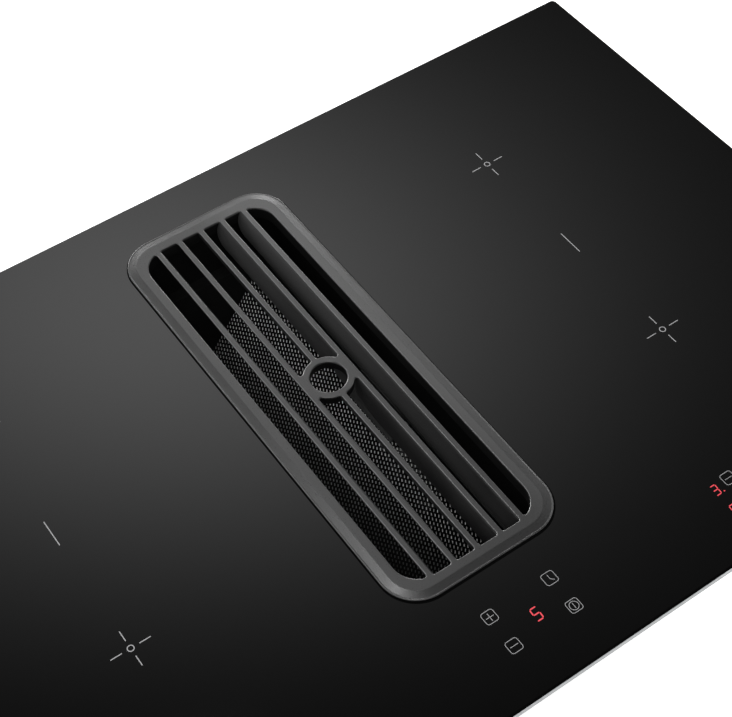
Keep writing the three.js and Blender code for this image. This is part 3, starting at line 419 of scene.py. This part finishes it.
def circuit():
    """Solder resist over copper tracks, with tinned pads."""
    made = Finish("circuit_board", (0.02, 0.12, 0.05), 0.35)
    tracks = made.texture("Brick", 90)
    tracks.inputs["Mortar Size"].default_value = 0.03
    made.vary_colour(tracks.outputs["Fac"], (0.018, 0.105, 0.045), (0.035, 0.19, 0.085))
    return made.bump(made.texture("Voronoi", 180).outputs["Distance"], 0.05)


def copper():
    made = Finish("winding_wire", (0.62, 0.26, 0.12), 0.32, 0.9)
    return made.vary_colour(made.noise(60, 3), (0.50, 0.19, 0.08), (0.72, 0.33, 0.16), *MOST)


def printed():
    """Screen-printed enamel on the glass."""
    colour = (0.38, 0.38, 0.385)
    made = Finish("glass_print", colour, 0.35)
    return made.vary_colour(made.noise(2500, 1), shade(colour, 0.92), shade(colour, 1.06), *MOST)


def lit():
    """Red light from a display, seen through the glass."""
    colour = (0.95, 0.09, 0.115)
    made = Finish("display_red", shade(colour, 0.3), 0.3)
    made.set("Emission Color", (*colour, 1))
    made.set("Emission Strength", 0.68)
    return made.vary_colour(made.noise(1200, 1), shade(colour, 0.26), shade(colour, 0.34), *MOST)


def net_finish(name, grey, roughness):
    """Expanded steel under a dull coat that is a little uneven."""
    made = Finish(name, (grey, grey, grey), roughness)
    made.set("Specular IOR Level", 0.1)
    made.bump(made.noise(400, 2), 0.02)
    return made.vary_roughness(made.noise(30, 2), roughness - 0.06, roughness + 0.08, *MOST)


def painted_glint_finish():
    """Painted glints on the strands' faces, with painted shade towards the left and the front of the
    net.
    """
    made = net_finish("net_painted_glint", 0.3, 0.5)
    slanted = made.along((1.0, 0.15, 0.0))
    return made.vary_colour(slanted, (0.08, 0.08, 0.08), (0.85, 0.85, 0.85), -0.015, 0.05)


def make_finishes():
    return {
        "glass": black_glass(),
        "enamel": enamelled(),
        "filter": painted(),
        "net": net_finish("net_strand", 0.003, 0.6),
        # painted glints on the net, with painted shade across them
        "worn": painted_glint_finish(),
        "ground": moulded("ground_edge", (0.003, 0.003, 0.003), 0.7, specular=0.0),
        "zinc": galvanised(),
        "steel": turned_steel(),
        "plastic": moulded("black_plastic", (0.022, 0.022, 0.024), 0.45),
        # near-black plastic of the well and its parts; on the grille's skirt and finger ring it is
        # painted shade
        "well": moulded("well_plastic_and_shade", (0.005, 0.005, 0.005), 0.55, specular=0.15),
        "grey_plastic": moulded("grey_plastic", (0.16, 0.165, 0.17), 0.45),
        "foam": foam(),
        "rubber": rubber(),
        "copper": copper(),
        "mica": mica(),
        "aluminium": cast_aluminium(),
        "circuit": circuit(),
        "print": printed(),
        "red": lit(),
    }


# ------------------------------------------------------------------ shapes

ARC_STEP = 7.5  # degrees between the points of an arc


def arc(x, y, radius, start, end, grows=1):
    """Part of an outline; where grows is -1, the outline's growth makes the arc smaller."""
    return (x, y, radius, math.radians(start), math.radians(end), grows)


def rounded(width, length, radius, x=0.0, y=0.0):
    """A rounded rectangle's four corners, anticlockwise."""
    dx, dy = width / 2 - radius, length / 2 - radius
    return [
        arc(x + dx, y + dy, radius, 0, 90),
        arc(x - dx, y + dy, radius, 90, 180),
        arc(x - dx, y - dy, radius, 180, 270),
        arc(x + dx, y - dy, radius, 270, 360),
    ]


def circle(radius, x=0.0, y=0.0):
    return [arc(x, y, radius, 90 * k, 90 * (k + 1)) for k in range(4)]


def mirrored(arcs, over_x=False, over_y=False):
    """The same outline mirrored, still anticlockwise when one axis is turned over."""
    made = []
    for x, y, radius, start, end, grows in arcs:
        if over_x:
            x, start, end = -x, math.pi - start, math.pi - end
        if over_y:
            y, start, end = -y, -start, -end
        made.append((x, y, radius, start, end, grows))
    if over_x != over_y:
        made = [(x, y, r, end, start, grows) for x, y, r, start, end, grows in reversed(made)]
    return made


def trace(arcs, offset=0.0, step=ARC_STEP):
    """Points along an outline that has grown by offset."""
    points = []
    for x, y, radius, start, end, grows in arcs:
        count = max(2, round(abs(math.degrees(end - start)) / step))
        r = max(radius + grows * offset, 0.01)
        for i in range(count + 1):
            angle = start + (end - start) * i / count
            points.append((x + r * math.cos(angle), y + r * math.sin(angle)))
    return points


class Shape:
    """Points and faces of one mesh."""

    def __init__(self):
        self.points = []
        self.faces = []
        self.other = {}  # a face's number, and the other finish that it takes

    def ring(self, points):
        """Adds points and returns their numbers."""
        first = len(self.points)
        self.points.extend(points)
        return list(range(first, len(self.points)))

    def band(self, lower, upper):
        """Four-sided faces between two rings."""
        for i in range(len(lower)):
            j = (i + 1) % len(lower)
            self.faces.append((lower[i], lower[j], upper[j], upper[i]))

    def cap(self, *rings):
        """A flat face inside the first ring, with holes for the others."""
        loops = [[Vector(self.points[i]) for i in ring] for ring in rings]
        index = [i for ring in rings for i in ring]
        for triangle in tessellate_polygon(loops):
            self.faces.append(tuple(index[i] for i in triangle))

    def skin(self, arcs, profile):
        """A wall round an outline, through (growth, height) pairs; returns its two edges."""
        rings = []
        for offset, height in profile:
            outline = trace(arcs, offset)
            rings.append(self.ring([(x, y, height) for x, y in outline]))
        for lower, upper in zip(rings, rings[1:]):
            self.band(lower, upper)
        return rings[0], rings[-1]

    def solid(self, arcs, profile, holes):
        """A plate with an outer wall and holes' walls, capped at both ends."""
        first, last = self.skin(arcs, profile)
        tops, bottoms = [first], [last]
        for hole_arcs, hole_profile in holes:
            first, last = self.skin(hole_arcs, hole_profile)
            tops.append(first)
            bottoms.append(last)
        self.cap(*tops)
        self.cap(*bottoms)

    def loft(self, sections):
        """A closed body through sections with the same number of points."""
        rings = [self.ring(section) for section in sections]
        for lower, upper in zip(rings, rings[1:]):
            self.band(lower, upper)
        self.faces.append(tuple(rings[0]))
        self.faces.append(tuple(rings[-1]))

    def make(self, name, finish, body, replaces=(), sharp=32, y=0.0):
        """The mesh as an object on its body, smooth but for edges sharper than an angle."""
        mesh = bpy.data.meshes.new(name)
        moved = [(px * MM, (py + y) * MM, (pz + GLASS_TOP) * MM) for px, py, pz in self.points]
        mesh.from_pydata(moved, [], self.faces)
        used = [finish, *sorted(set(self.other.values()))]
        for each in used:
            mesh.materials.append(finishes[each].material)
        for index, other in self.other.items():
            mesh.polygons[index].material_index = used.index(other)
        merge_points(mesh)
        mesh.polygons.foreach_set("use_smooth", [True] * len(mesh.polygons))
        mesh.set_sharp_from_angle(angle=math.radians(sharp))
        piece = bpy.data.objects.new(name, mesh)
        bpy.context.scene.collection.objects.link(piece)
        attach(piece, body)
        if replaces:
            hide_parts(*replaces)
        return piece


def merge_points(mesh):
    """Joins points that coincide, drops faces without size and turns all faces outwards."""
    work = bmesh.new()
    work.from_mesh(mesh)
    bmesh.ops.remove_doubles(work, verts=work.verts, dist=1e-6)
    bmesh.ops.dissolve_degenerate(work, edges=work.edges, dist=1e-7)
    bmesh.ops.recalc_face_normals(work, faces=work.faces)
    work.to_mesh(mesh)
    work.free()


def rounding(radius):
    """The rounded edge of the glass top: flat rim, quarter circle, then down the wall."""
    count, support = 4, 0.4
    profile = [(radius + support, 0)]
    for i in range(count + 1):
        angle = QUARTER * i / count
        profile.append((radius * (1 - math.sin(angle)), -radius * (1 - math.cos(angle))))
    profile.append((0.0, -radius - support))
    return profile


def inward(profile):
    """The same profile for an outer wall, whose rim lies inside its outline."""
    return [(-offset, height) for offset, height in profile]


# ------------------------------------------------------------------ glass

GLASS_WIDTH, GLASS_DEPTH, GLASS_CORNER = 800, 520, 4
GLASS_THICKNESS = 4
HOLE_WIDTH, HOLE_LENGTH, HOLE_CORNER = 120, 364, 21


def glass_wall(edge):
    """A wall from the glass top to its underside, rounded above and bevelled below."""
    return rounding(edge) + [(0, -GLASS_THICKNESS + edge), (edge, -GLASS_THICKNESS)]


def make_glass():
    outline = rounded(GLASS_WIDTH, GLASS_DEPTH, GLASS_CORNER)
    hole = rounded(HOLE_WIDTH, HOLE_LENGTH, HOLE_CORNER, 0, WELL_Y)
    wall = inward(glass_wall(0.5))
    shape = Shape()
    shape.solid(outline, wall, [(hole, glass_wall(0.4))])
    around = len(trace(outline))
    ground = range(around, (len(wall) - 1) * around)  # the outer wall but for its flat rim
    shape.other = dict.fromkeys(ground, "ground")
    shape.make("glass_plate", "glass", "unit", ["glass_top"])


# ------------------------------------------------------------------ grille

RIM_WIDTH, RIM_LENGTH, RIM_CORNER = 138.8, 383.4, 28.4  # the metal's edge, inside the gasket's
RIM_SHIFT = 0.4  # the metal's middle lies this far behind the slots'
FIELD_WIDTH, FIELD_LENGTH, FIELD_CORNER = 111.3, 355, 20  # round all the slots
SKIRT_WIDTH, SKIRT_LENGTH, SKIRT_CORNER = 116.5, 360.2, 22.6
GRILLE_TOP = 2.6
GRILLE_UNDERSIDE = 0.9
SLOT_END = 177.5
BAR_END = SLOT_END + 1  # inside the frame
SLOT_CORNER = 2
BAR_PITCH = 19.44
BAR_HALF = 2.05
RING_INNER, RING_OUTER, RING_FOOT = 14, 19, -5.4
RING_MIDDLE = 17  # where the middle bar ends, inside the ring's wall
JOINT_GAP = 0.02  # between walls that would otherwise lie in one plane

BODY_TOP = 2.05  # where the bodies of the bars start, inside the plate
PLAIN_FOOT = -2.4
VANE_FOOT = -12.9
LEAN_LEFT, LEAN_RIGHT = 5.6, 8.1  # how far a vane's two sides lean, down to its foot
VANE_BULGE = 0.4
# A vane's stretches along its bar: front end, rear end and length of the rear end's corner.
WHOLE_VANE = [(-SLOT_END, SLOT_END, 14)]
PARTED_VANE = [(-SLOT_END, -12.5, 33), (-6, 17.5, 14), (19, SLOT_END, 14)]


def outer_slot():
    """The slot beside the frame: its outer corners follow the field's corners."""
    x, y = 42.93, 173.96  # where a small corner touches the large one
    touch = 66.1
    large_x, large_y = FIELD_WIDTH / 2 - FIELD_CORNER, FIELD_LENGTH / 2 - FIELD_CORNER
    return [
        arc(large_x, large_y, FIELD_CORNER, 0, touch),
        arc(x, y, SLOT_CORNER, touch, 180),
        arc(x, -y, SLOT_CORNER, 180, 360 - touch),
        arc(large_x, -large_y, FIELD_CORNER, 360 - touch, 360),
    ]


def side_slot():
    left, right = BAR_PITCH + BAR_HALF, 2 * BAR_PITCH - BAR_HALF
    return rounded(right - left, 2 * SLOT_END, SLOT_CORNER, (left + right) / 2)


def middle_slot():
    """Half of the slot beside the middle bar, from its rear end to the finger ring."""
    left, right = BAR_HALF + SLOT_CORNER, BAR_PITCH - BAR_HALF - SLOT_CORNER
    end = SLOT_END - SLOT_CORNER
    near_ring, far_ring = 20.6, 14.29  # where the two front corners touch the ring
    near_touch, far_touch = 78.9, 42.9
    return [
        arc(right, end, SLOT_CORNER, 0, 90),
        arc(left, end, SLOT_CORNER, 90, 180),
        arc(left, near_ring, SLOT_CORNER, 180, 180 + near_touch),
        arc(0, 0, RING_OUTER, near_touch, far_touch, -1),
        arc(right, far_ring, SLOT_CORNER, 180 + far_touch, 360),
    ]


def grille_holes():
    holes = [circle(RING_INNER)]
    for over_x in (False, True):
        holes.append(mirrored(outer_slot(), over_x))
        holes.append(mirrored(side_slot(), over_x))
        for over_y in (False, True):
            holes.append(mirrored(middle_slot(), over_x, over_y))
    return holes


def add_grille_plate(shape):
    """The frame and the tops of the bars, with every edge rounded and a lip at the rim."""
    bevel = [
        (-8, GRILLE_TOP), (-7.25, GRILLE_TOP), (-7, 2.585), (-6.75, 2.55), (-6.3, 2.475),
        (-1.6, 1.69), (-1.3, 1.65), (-1.1, 1.68), (-0.85, 1.78), (-0.6, 1.82), (-0.35, 1.77),
        (-0.15, 1.62), (-0.03, 1.4), (0, 1.2), (0, 0.5), (-0.15, 0.35), (-1.5, 0.35),
        (-1.7, GRILLE_UNDERSIDE),
    ]
    wall = [
        (0.95, GRILLE_TOP), (0.62, GRILLE_TOP), (0.5, 2.57), (0.12, 2.4), (0.04, 2.3), (0, 2.15),
        (0, 1.8), (0, GRILLE_UNDERSIDE),
    ]
    holes = [(hole, wall) for hole in grille_holes()]
    shape.solid(rounded(RIM_WIDTH, RIM_LENGTH, RIM_CORNER, 0, RIM_SHIFT), bevel, holes)


def add_skirt(shape):
    outer = [(-0.3, 1.5), (0, 1.2), (0, -9.0), (-0.4, -9.4)]
    inner = [(JOINT_GAP, 1.5), (JOINT_GAP, -9.0), (0.4 + JOINT_GAP, -9.4)]
    hole = rounded(FIELD_WIDTH, FIELD_LENGTH, FIELD_CORNER)
    shape.solid(rounded(SKIRT_WIDTH, SKIRT_LENGTH, SKIRT_CORNER), outer, [(hole, inner)])


def add_finger_ring(shape):
    outer = [
        (-JOINT_GAP, 1.5), (-JOINT_GAP, RING_FOOT + 0.5), (-0.15, RING_FOOT + 0.15),
        (-0.5, RING_FOOT),
    ]
    shape.solid(circle(RING_OUTER), outer, [(circle(RING_INNER), inward(outer))])


def bar_sides(x, t, leaning):
    """Where a bar's two sides are, at a share of the way down to the foot of a vane."""
    left, right = x - BAR_HALF + 0.01, x + BAR_HALF - 0.02
    if leaning:
        left -= LEAN_LEFT * (t + VANE_BULGE * t * (1 - t))
        right -= LEAN_RIGHT * t
    return left, right


def bar_section(x, y, foot, leaning):
    """A bar's section below its top: down its left side, round its foot and up again."""
    count, foot_count = 8, 6
    share = (BODY_TOP - foot) / (BODY_TOP - VANE_FOOT)
    down, up = [], []
    for i in range(count + 1):
        t = share * i / count
        left, right = bar_sides(x, t, leaning)
        height = BODY_TOP - t * (BODY_TOP - VANE_FOOT)
        down.append((left, y, height))
        up.append((right, y, height))
    middle, half = (left + right) / 2, abs(right - left) / 2
    roundness = 0.5 * min(half, 0.9)
    for i in range(1, foot_count):
        angle = math.pi * i / foot_count
        down.append((middle - half * math.cos(angle), y, foot - roundness * math.sin(angle)))
    return down + up[::-1]


def vane_foot(y, stretches):
    """How deep a vane reaches at a place along it: its foot rises in each rear corner."""
    for front, rear, corner in stretches:
        if front <= y <= rear:
            t = max(0.0, 1 - (rear - y) / corner)
            return PLAIN_FOOT - (PLAIN_FOOT - VANE_FOOT) * math.sqrt(max(0.0, 1 - t * t))
    return PLAIN_FOOT


def vane_stations(stretches):
    """Places along a bar, close together where its foot is curved."""
    count = 12
    step = 0.02  # the foot drops and rises again within this length
    stations = {-BAR_END, BAR_END}
    for front, rear, corner in stretches:
        stations.update({front - step, front, rear + step})
        for i in range(count + 1):
            stations.add(rear - corner * (1 - math.cos(QUARTER * i / count)))
    return sorted(y for y in stations if -BAR_END <= y <= BAR_END)


def add_vane(shape, side, x, stretches):
    """A bar that widens into a leaning vane below, on one side or mirrored on the other."""
    sections = []
    for y in vane_stations(stretches):
        section = bar_section(x, y, vane_foot(y, stretches), True)
        sections.append([(side * px, py, pz) for px, py, pz in section])
    shape.loft(sections)


def add_middle_bar(shape):
    for ends in ((-BAR_END, -RING_MIDDLE), (RING_MIDDLE, BAR_END)):
        shape.loft([bar_section(0, y, PLAIN_FOOT, False) for y in ends])


def make_grille():
    shape = Shape()
    add_grille_plate(shape)
    first = len(shape.faces)
    add_skirt(shape)
    add_finger_ring(shape)
    # the skirt and the finger ring take the near-black well plastic, as painted shade on the casting's
    # walls below its plate
    shape.other = dict.fromkeys(range(first, len(shape.faces)), "well")
    for side in (-1, 1):
        add_vane(shape, side, BAR_PITCH, PARTED_VANE)
        add_vane(shape, side, 2 * BAR_PITCH, WHOLE_VANE)
    add_middle_bar(shape)
    shape.make("grille_casting", "enamel", "grille", ["grille"], y=WELL_Y)


def make_gasket_and_shade():
    """The black seal under the grille's rim, which also stands in for the shade under the rim and shows
    as a dark line round it.
    """
    outline = rounded(140.8, 385.8, 29.4)
    hole = rounded(136.6, 381.4, 27.3)
    outer = [(-0.2, 0.4), (0, 0.3), (0, 0.05), (-0.05, 0.02)]
    inner = [(0.0, 0.4), (0.0, 0.02)]
    shape = Shape()
    shape.solid(outline, outer, [(hole, inner)])
    shape.make("rim_gasket_and_shade", "ground", "grille", y=WELL_Y)


# ------------------------------------------------------------------ grease filter

NET_FOOT = {-1: Vector((-12.1, -140.6)), 1: Vector((-9.9, -140.6))}  # left and right: x, height
NET_HEAD = {-1: Vector((-47.7, -59.8)), 1: Vector((47.7, -59.8))}
NET_HALF_LENGTH = 171.7
NET_THICKNESS = 0.5
CELL_LENGTH = 6.235  # along the well
CELL_HEIGHT = 3.865  # up the net
KNOT = 0.9  # half a knot's length
KNOT_HALF, STRAND_HALF = 0.4, 0.3  # half the widths of knots and strands
KNOT_LIFT = 0.35  # how far a knot is twisted out of the net
PAINTED_GLINT_FACES = {-1: (0, 3), 1: (2, 5)}  # the faces that take the painted glints, of the six round a hole


def net_cell():
    """The edge of one cell and of the hole in it: distances along, up and out of the net."""
    half_length, half_height = CELL_LENGTH / 2, CELL_HEIGHT / 2
    run = half_length - 2 * KNOT
    tip = STRAND_HALF * math.hypot(run, half_height) / half_height
    hole_y = KNOT + run / half_height * KNOT_HALF - tip
    hole_s = half_height - KNOT_HALF
    cell = [
        (half_length - KNOT, 0, 0), (KNOT, half_height, 0), (-KNOT, half_height, 0),
        (KNOT - half_length, 0, 0), (-KNOT, -half_height, 0), (KNOT, -half_height, 0),
    ]
    hole = [
        (half_length - KNOT - tip, 0, 0), (hole_y, hole_s, KNOT_LIFT), (-hole_y, hole_s, KNOT_LIFT),
        (tip + KNOT - half_length, 0, 0), (-hole_y, -hole_s, -KNOT_LIFT), (hole_y, -hole_s, -KNOT_LIFT),
    ]
    return cell, hole


def cell_middles(height):
    """Where the cells of a net of this height have their middles: along the well, and up."""
    half_height = CELL_HEIGHT / 2
    rows = int(height / half_height) - 1
    columns = int(2 * NET_HALF_LENGTH / CELL_LENGTH)
    first_s = (height - (rows - 1) * half_height) / 2
    first_y = -(columns - 1) * CELL_LENGTH / 2
    for row in range(rows):
        odd = row % 2
        for column in range(columns - odd):
            yield first_y + (column + odd / 2) * CELL_LENGTH, first_s + row * half_height


def make_net(side):
    """Expanded metal: staggered six-sided holes with twisted knots between them."""
    slope = NET_HEAD[side] - NET_FOOT[side]
    up = slope.normalized()
    out = Vector((-up.y, up.x)) * side
    cell, hole = net_cell()
    shape = Shape()

    def ring(y, s, edge):
        points = []
        for dy, ds, raised in edge:
            across = NET_FOOT[side] + up * (s + ds) + out * raised
            points.append((across.x, y + dy, across.y))
        return shape.ring(points)

    for y, s in cell_middles(slope.length):
        first = len(shape.faces)
        shape.band(ring(y, s, cell), ring(y, s, hole))
        # two of the six faces round each hole take the painted glints
        for worn in PAINTED_GLINT_FACES[side]:
            shape.other[first + worn] = "worn"
    hand = "right" if side > 0 else "left"
    piece = shape.make(
        f"net_{hand}", "net", "filter", [f"filter_mesh_{hand}"], sharp=60, y=WELL_Y,
    )
    thick = piece.modifiers.new("thickness", "SOLIDIFY")
    thick.thickness = NET_THICKNESS * MM
    thick.offset = 0


# ------------------------------------------------------------------ marks on the glass

MARK_TOP = 0.035
ZONE_X, ZONE_FRONT, ZONE_REAR = 227.5, -80, 132.4
BRIDGE_FRONT, BRIDGE_REAR = 15.6, 38.6  # the stroke between two zones
ZONE_LINE_HALF = 0.35
KEY_SIZE, KEY_CORNER, KEY_LINE = 9.8, 2, 0.42
POWER_KEY = (25.2, -222.1)
SIDE_KEY_X, SIDE_KEY_Y = 176, -206.5
KEYS = (
    (-25, -196.7), (-25, -222.4), (25.2, -196.7), POWER_KEY,
    (SIDE_KEY_X, SIDE_KEY_Y), (-SIDE_KEY_X, SIDE_KEY_Y),
)
KEY_STROKES = (  # left, right, front and rear
    (-28.1, -21.8, -197.13, -196.67),  # plus
    (-25.23, -24.77, -200.0, -193.7),
    (-28.1, -21.8, -222.63, -222.17),  # minus
    (25.0, 25.4, -224.3, -219.9),  # power
    (-SIDE_KEY_X - 3, -SIDE_KEY_X + 3, -206.7, -206.3),
    (SIDE_KEY_X - 3, SIDE_KEY_X + 3, -206.7, -206.3),
)
CLOCK_HANDS = (
    (25, -193.7), (25, -197.3), (27.3, -199.6), (27.6, -199.3), (25.4, -197.1), (25.4, -193.7),
)


def flat(shape, points):
    """A printed patch: its outline, just proud of the glass."""
    shape.faces.append(tuple(shape.ring([(x, y, MARK_TOP) for x, y in points])))


def stroke(shape, left, right, front, rear):
    flat(shape, [(left, front), (right, front), (right, rear), (left, rear)])


def line_round(shape, arcs, width, step=ARC_STEP):
    """A line of a width round an outline, inside it."""
    outer = shape.ring([(x, y, MARK_TOP) for x, y in trace(arcs, 0, step)])
    inner = shape.ring([(x, y, MARK_TOP) for x, y in trace(arcs, -width, step)])
    shape.band(outer, inner)


def add_zone_mark(shape, x, y):
    """A cross of four strokes round a small ring."""
    half = ZONE_LINE_HALF
    for start, end in ((-15, -6.5), (6.5, 15)):
        stroke(shape, x + start, x + end, y - half, y + half)
        stroke(shape, x - half, x + half, y + start, y + end)
    line_round(shape, circle(2.6, x, y), 2 * half)


def make_marks():
    shape = Shape()
    for x in (-ZONE_X, ZONE_X):
        for y in (ZONE_FRONT, ZONE_REAR):
            add_zone_mark(shape, x, y)
        stroke(shape, x - ZONE_LINE_HALF, x + ZONE_LINE_HALF, BRIDGE_FRONT, BRIDGE_REAR)
    for x, y in KEYS:
        line_round(shape, rounded(KEY_SIZE, KEY_SIZE, KEY_CORNER, x, y), KEY_LINE, 30)
    for sides in KEY_STROKES:
        stroke(shape, *sides)
    flat(shape, CLOCK_HANDS)
    line_round(shape, circle(3.5, *POWER_KEY), KEY_LINE, 15)
    shape.make("glass_marks", "print", "unit")


SEGMENTS = {"3": "abgcd", "5": "afgcd", "0": "abcdef"}
SEGMENT_ENDS = {  # in widths from the left and in half heights from the middle
    "a": ((0, 1), (1, 1)), "g": ((0, 0), (1, 0)), "d": ((0, -1), (1, -1)),
    "f": ((0, 0), (0, 1)), "b": ((1, 0), (1, 1)),
    "e": ((0, -1), (0, 0)), "c": ((1, -1), (1, 0)),
}
DIGIT_LEAN = 0.08


def add_digit(shape, digit, x, y, height):
    """A seven-segment digit, leaning a little to the right."""
    half, width, thick = height / 2, height * 0.52, height * 0.05
    for name in SEGMENTS[digit]:
        (u0, v0), (u1, v1) = SEGMENT_ENDS[name]
        start = Vector((x + (u0 - 0.5) * width, y + v0 * half))
        end = Vector((x + (u1 - 0.5) * width, y + v1 * half))
        along = (end - start).normalized() * thick
        across = Vector((-along.y, along.x))
        start, end = start + along * 0.3, end - along * 0.3
        outline = [
            start, start + along - across, end - along - across,
            end, end - along + across, start + along + across,
        ]
        flat(shape, [(p.x + DIGIT_LEAN * (p.y - y), p.y) for p in outline])


def make_digits():
    shape = Shape()
    add_digit(shape, "5", 1.35, -212.7, 9.6)
    for x in (-162, 162):
        add_digit(shape, "3", x, -209, 8)
        add_digit(shape, "0", x, -228, 8)
        stroke(shape, x + 4, x + 5, -213.3, -212.3)
    shape.make("display_digits", "red", "unit")


# ------------------------------------------------------------------ screws

SCREW_RADIUS, SMALL_SCREW_RADIUS = 3.2, 2.6
SCREW_HEAD = [(1, -0.05), (1, 0.3), (0.94, 0.42), (0.8, 0.52), (0.6, 0.58)]  # in radii
SCREW_RECESS = [(0.46, 0.6), (0.42, 0.56), (0.4, 0.25)]
HEXAGON_SIDE = math.pi / 3  # the angle that one side takes up


def add_screw(shape, place, axis, radius):
    """A pan head with a six-sided recess, standing on a face."""
    count = 24
    axis = Vector(axis)
    side = axis.orthogonal().normalized()
    up = axis.cross(side)
    rings = []
    for share, height in SCREW_HEAD + SCREW_RECESS:
        points = []
        for i in range(count):
            angle = 2 * math.pi * i / count
            reach = share * radius
            if (share, height) in SCREW_RECESS:
                off_middle = angle % HEXAGON_SIDE - HEXAGON_SIDE / 2
                reach *= math.cos(HEXAGON_SIDE / 2) / math.cos(off_middle)
            outward = side * math.cos(angle) + up * math.sin(angle)
            points.append(tuple(Vector(place) + axis * height * radius + outward * reach))
        rings.append(shape.ring(points))
    for lower, upper in zip(rings, rings[1:]):
        shape.band(lower, upper)
    shape.faces.append(tuple(rings[0]))
    shape.faces.append(tuple(rings[-1]))


def box_mm(name):
    """A CAD node's box in millimetres, with heights measured from the glass top."""
    top = Vector((0, 0, GLASS_TOP))
    return [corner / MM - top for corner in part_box(name)]


def add_casing_screws(shape):
    low, high = box_mm("casing")
    width, depth = high.x - low.x, high.y - low.y
    height = high.z - 12
    for y in (-0.42, -0.05, 0.42):
        add_screw(shape, (low.x, y * depth, height), (-1, 0, 0), SCREW_RADIUS)
        add_screw(shape, (high.x, y * depth, height), (1, 0, 0), SCREW_RADIUS)
    for x in (-0.4, -0.13, 0.13, 0.4):
        add_screw(shape, (x * width, low.y, height), (0, -1, 0), SCREW_RADIUS)
    for x in (-0.13, 0.13):
        add_screw(shape, (x * width, high.y, height), (0, 1, 0), SCREW_RADIUS)


def add_corner_screws(shape, name, margin):
    """Four screws in the underside of a box, a margin inside its corners."""
    low, high = box_mm(name)
    for x in (low.x + margin, high.x - margin):
        for y in (low.y + margin, high.y - margin):
            add_screw(shape, (x, y, low.z), (0, 0, -1), SMALL_SCREW_RADIUS)


def add_bracket_screws(shape):
    margin = 7
    low, high = box_mm("motor_bracket")
    for y in (low.y + margin, high.y - margin):
        for z in (low.z + margin, high.z - margin):
            add_screw(shape, (high.x, y, z), (1, 0, 0), SMALL_SCREW_RADIUS)


def make_screws():
    shape = Shape()
    add_casing_screws(shape)
    add_corner_screws(shape, "terminal_box_cover", 7)
    add_corner_screws(shape, "fan_driver_box", 8)
    add_bracket_screws(shape)
    shape.make("body_screws", "steel", "unit")


# ------------------------------------------------------------------ nodes kept from the CAD

EDGE_RADIUS = 0.4
EDGE_ANGLE = 38  # degrees; flatter edges stay as they are
REPLACED = {"glass_top", "grille", "filter_mesh_left", "filter_mesh_right"}
FINISH_BY_START = {  # the first start that fits counts
    "rim_seal": "foam", "well_seal": "rubber", "air_well": "well", "filter_frame": "filter",
    "drip_tray": "well", "casing": "zinc", "impeller_shaft": "steel", "impeller": "well",
    "fan_motor": "zinc", "motor_bracket": "zinc", "outlet_adapter": "plastic",
    "fan_housing_inlet_half": "well", "fan_housing_motor_half": "plastic",
    "fan_driver_box": "grey_plastic", "terminal_box": "grey_plastic", "cable_gland": "plastic",
    "control_board": "circuit", "control_carrier": "plastic", "grille_pad_": "rubber",
    "coil_carrier_": "aluminium", "coil_": "copper", "zone_sensor_": "plastic",
    "insulation_sheet_": "mica", "power_board_": "circuit", "heat_sink_": "aluminium",
    "cooling_fan_": "plastic", "clip_": "steel",
}


def finish_for(name):
    return next(finish for start, finish in FINISH_BY_START.items() if name.startswith(start))


def dress(name):
    """Gives a CAD node its material, and modifiers that round its edges."""
    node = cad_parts[name]
    mesh = node.data
    mesh.materials.clear()
    mesh.materials.append(finishes[finish_for(name)].material)
    mesh.polygons.foreach_set("use_smooth", [True] * len(mesh.polygons))
    mesh.normals_split_custom_set([(0.0, 0.0, 0.0)] * len(mesh.loops))
    weld = node.modifiers.new("weld", "WELD")
    weld.merge_threshold = 0.00001
    edges = node.modifiers.new("edges", "BEVEL")
    edges.width = EDGE_RADIUS * MM
    edges.segments = 2
    edges.limit_method = "ANGLE"
    edges.angle_limit = math.radians(EDGE_ANGLE)
    edges.harden_normals = True


# ------------------------------------------------------------------ the whole scene

make_camera()
make_lamps()
make_world()
make_floor()
finishes = make_finishes()
for node_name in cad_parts:
    if node_name not in REPLACED:
        dress(node_name)
make_glass()
make_marks()
make_digits()
make_grille()
make_gasket_and_shade()
make_net(-1)
make_net(1)
make_screws()

bpy.context.scene.view_settings.view_transform = "Standard"
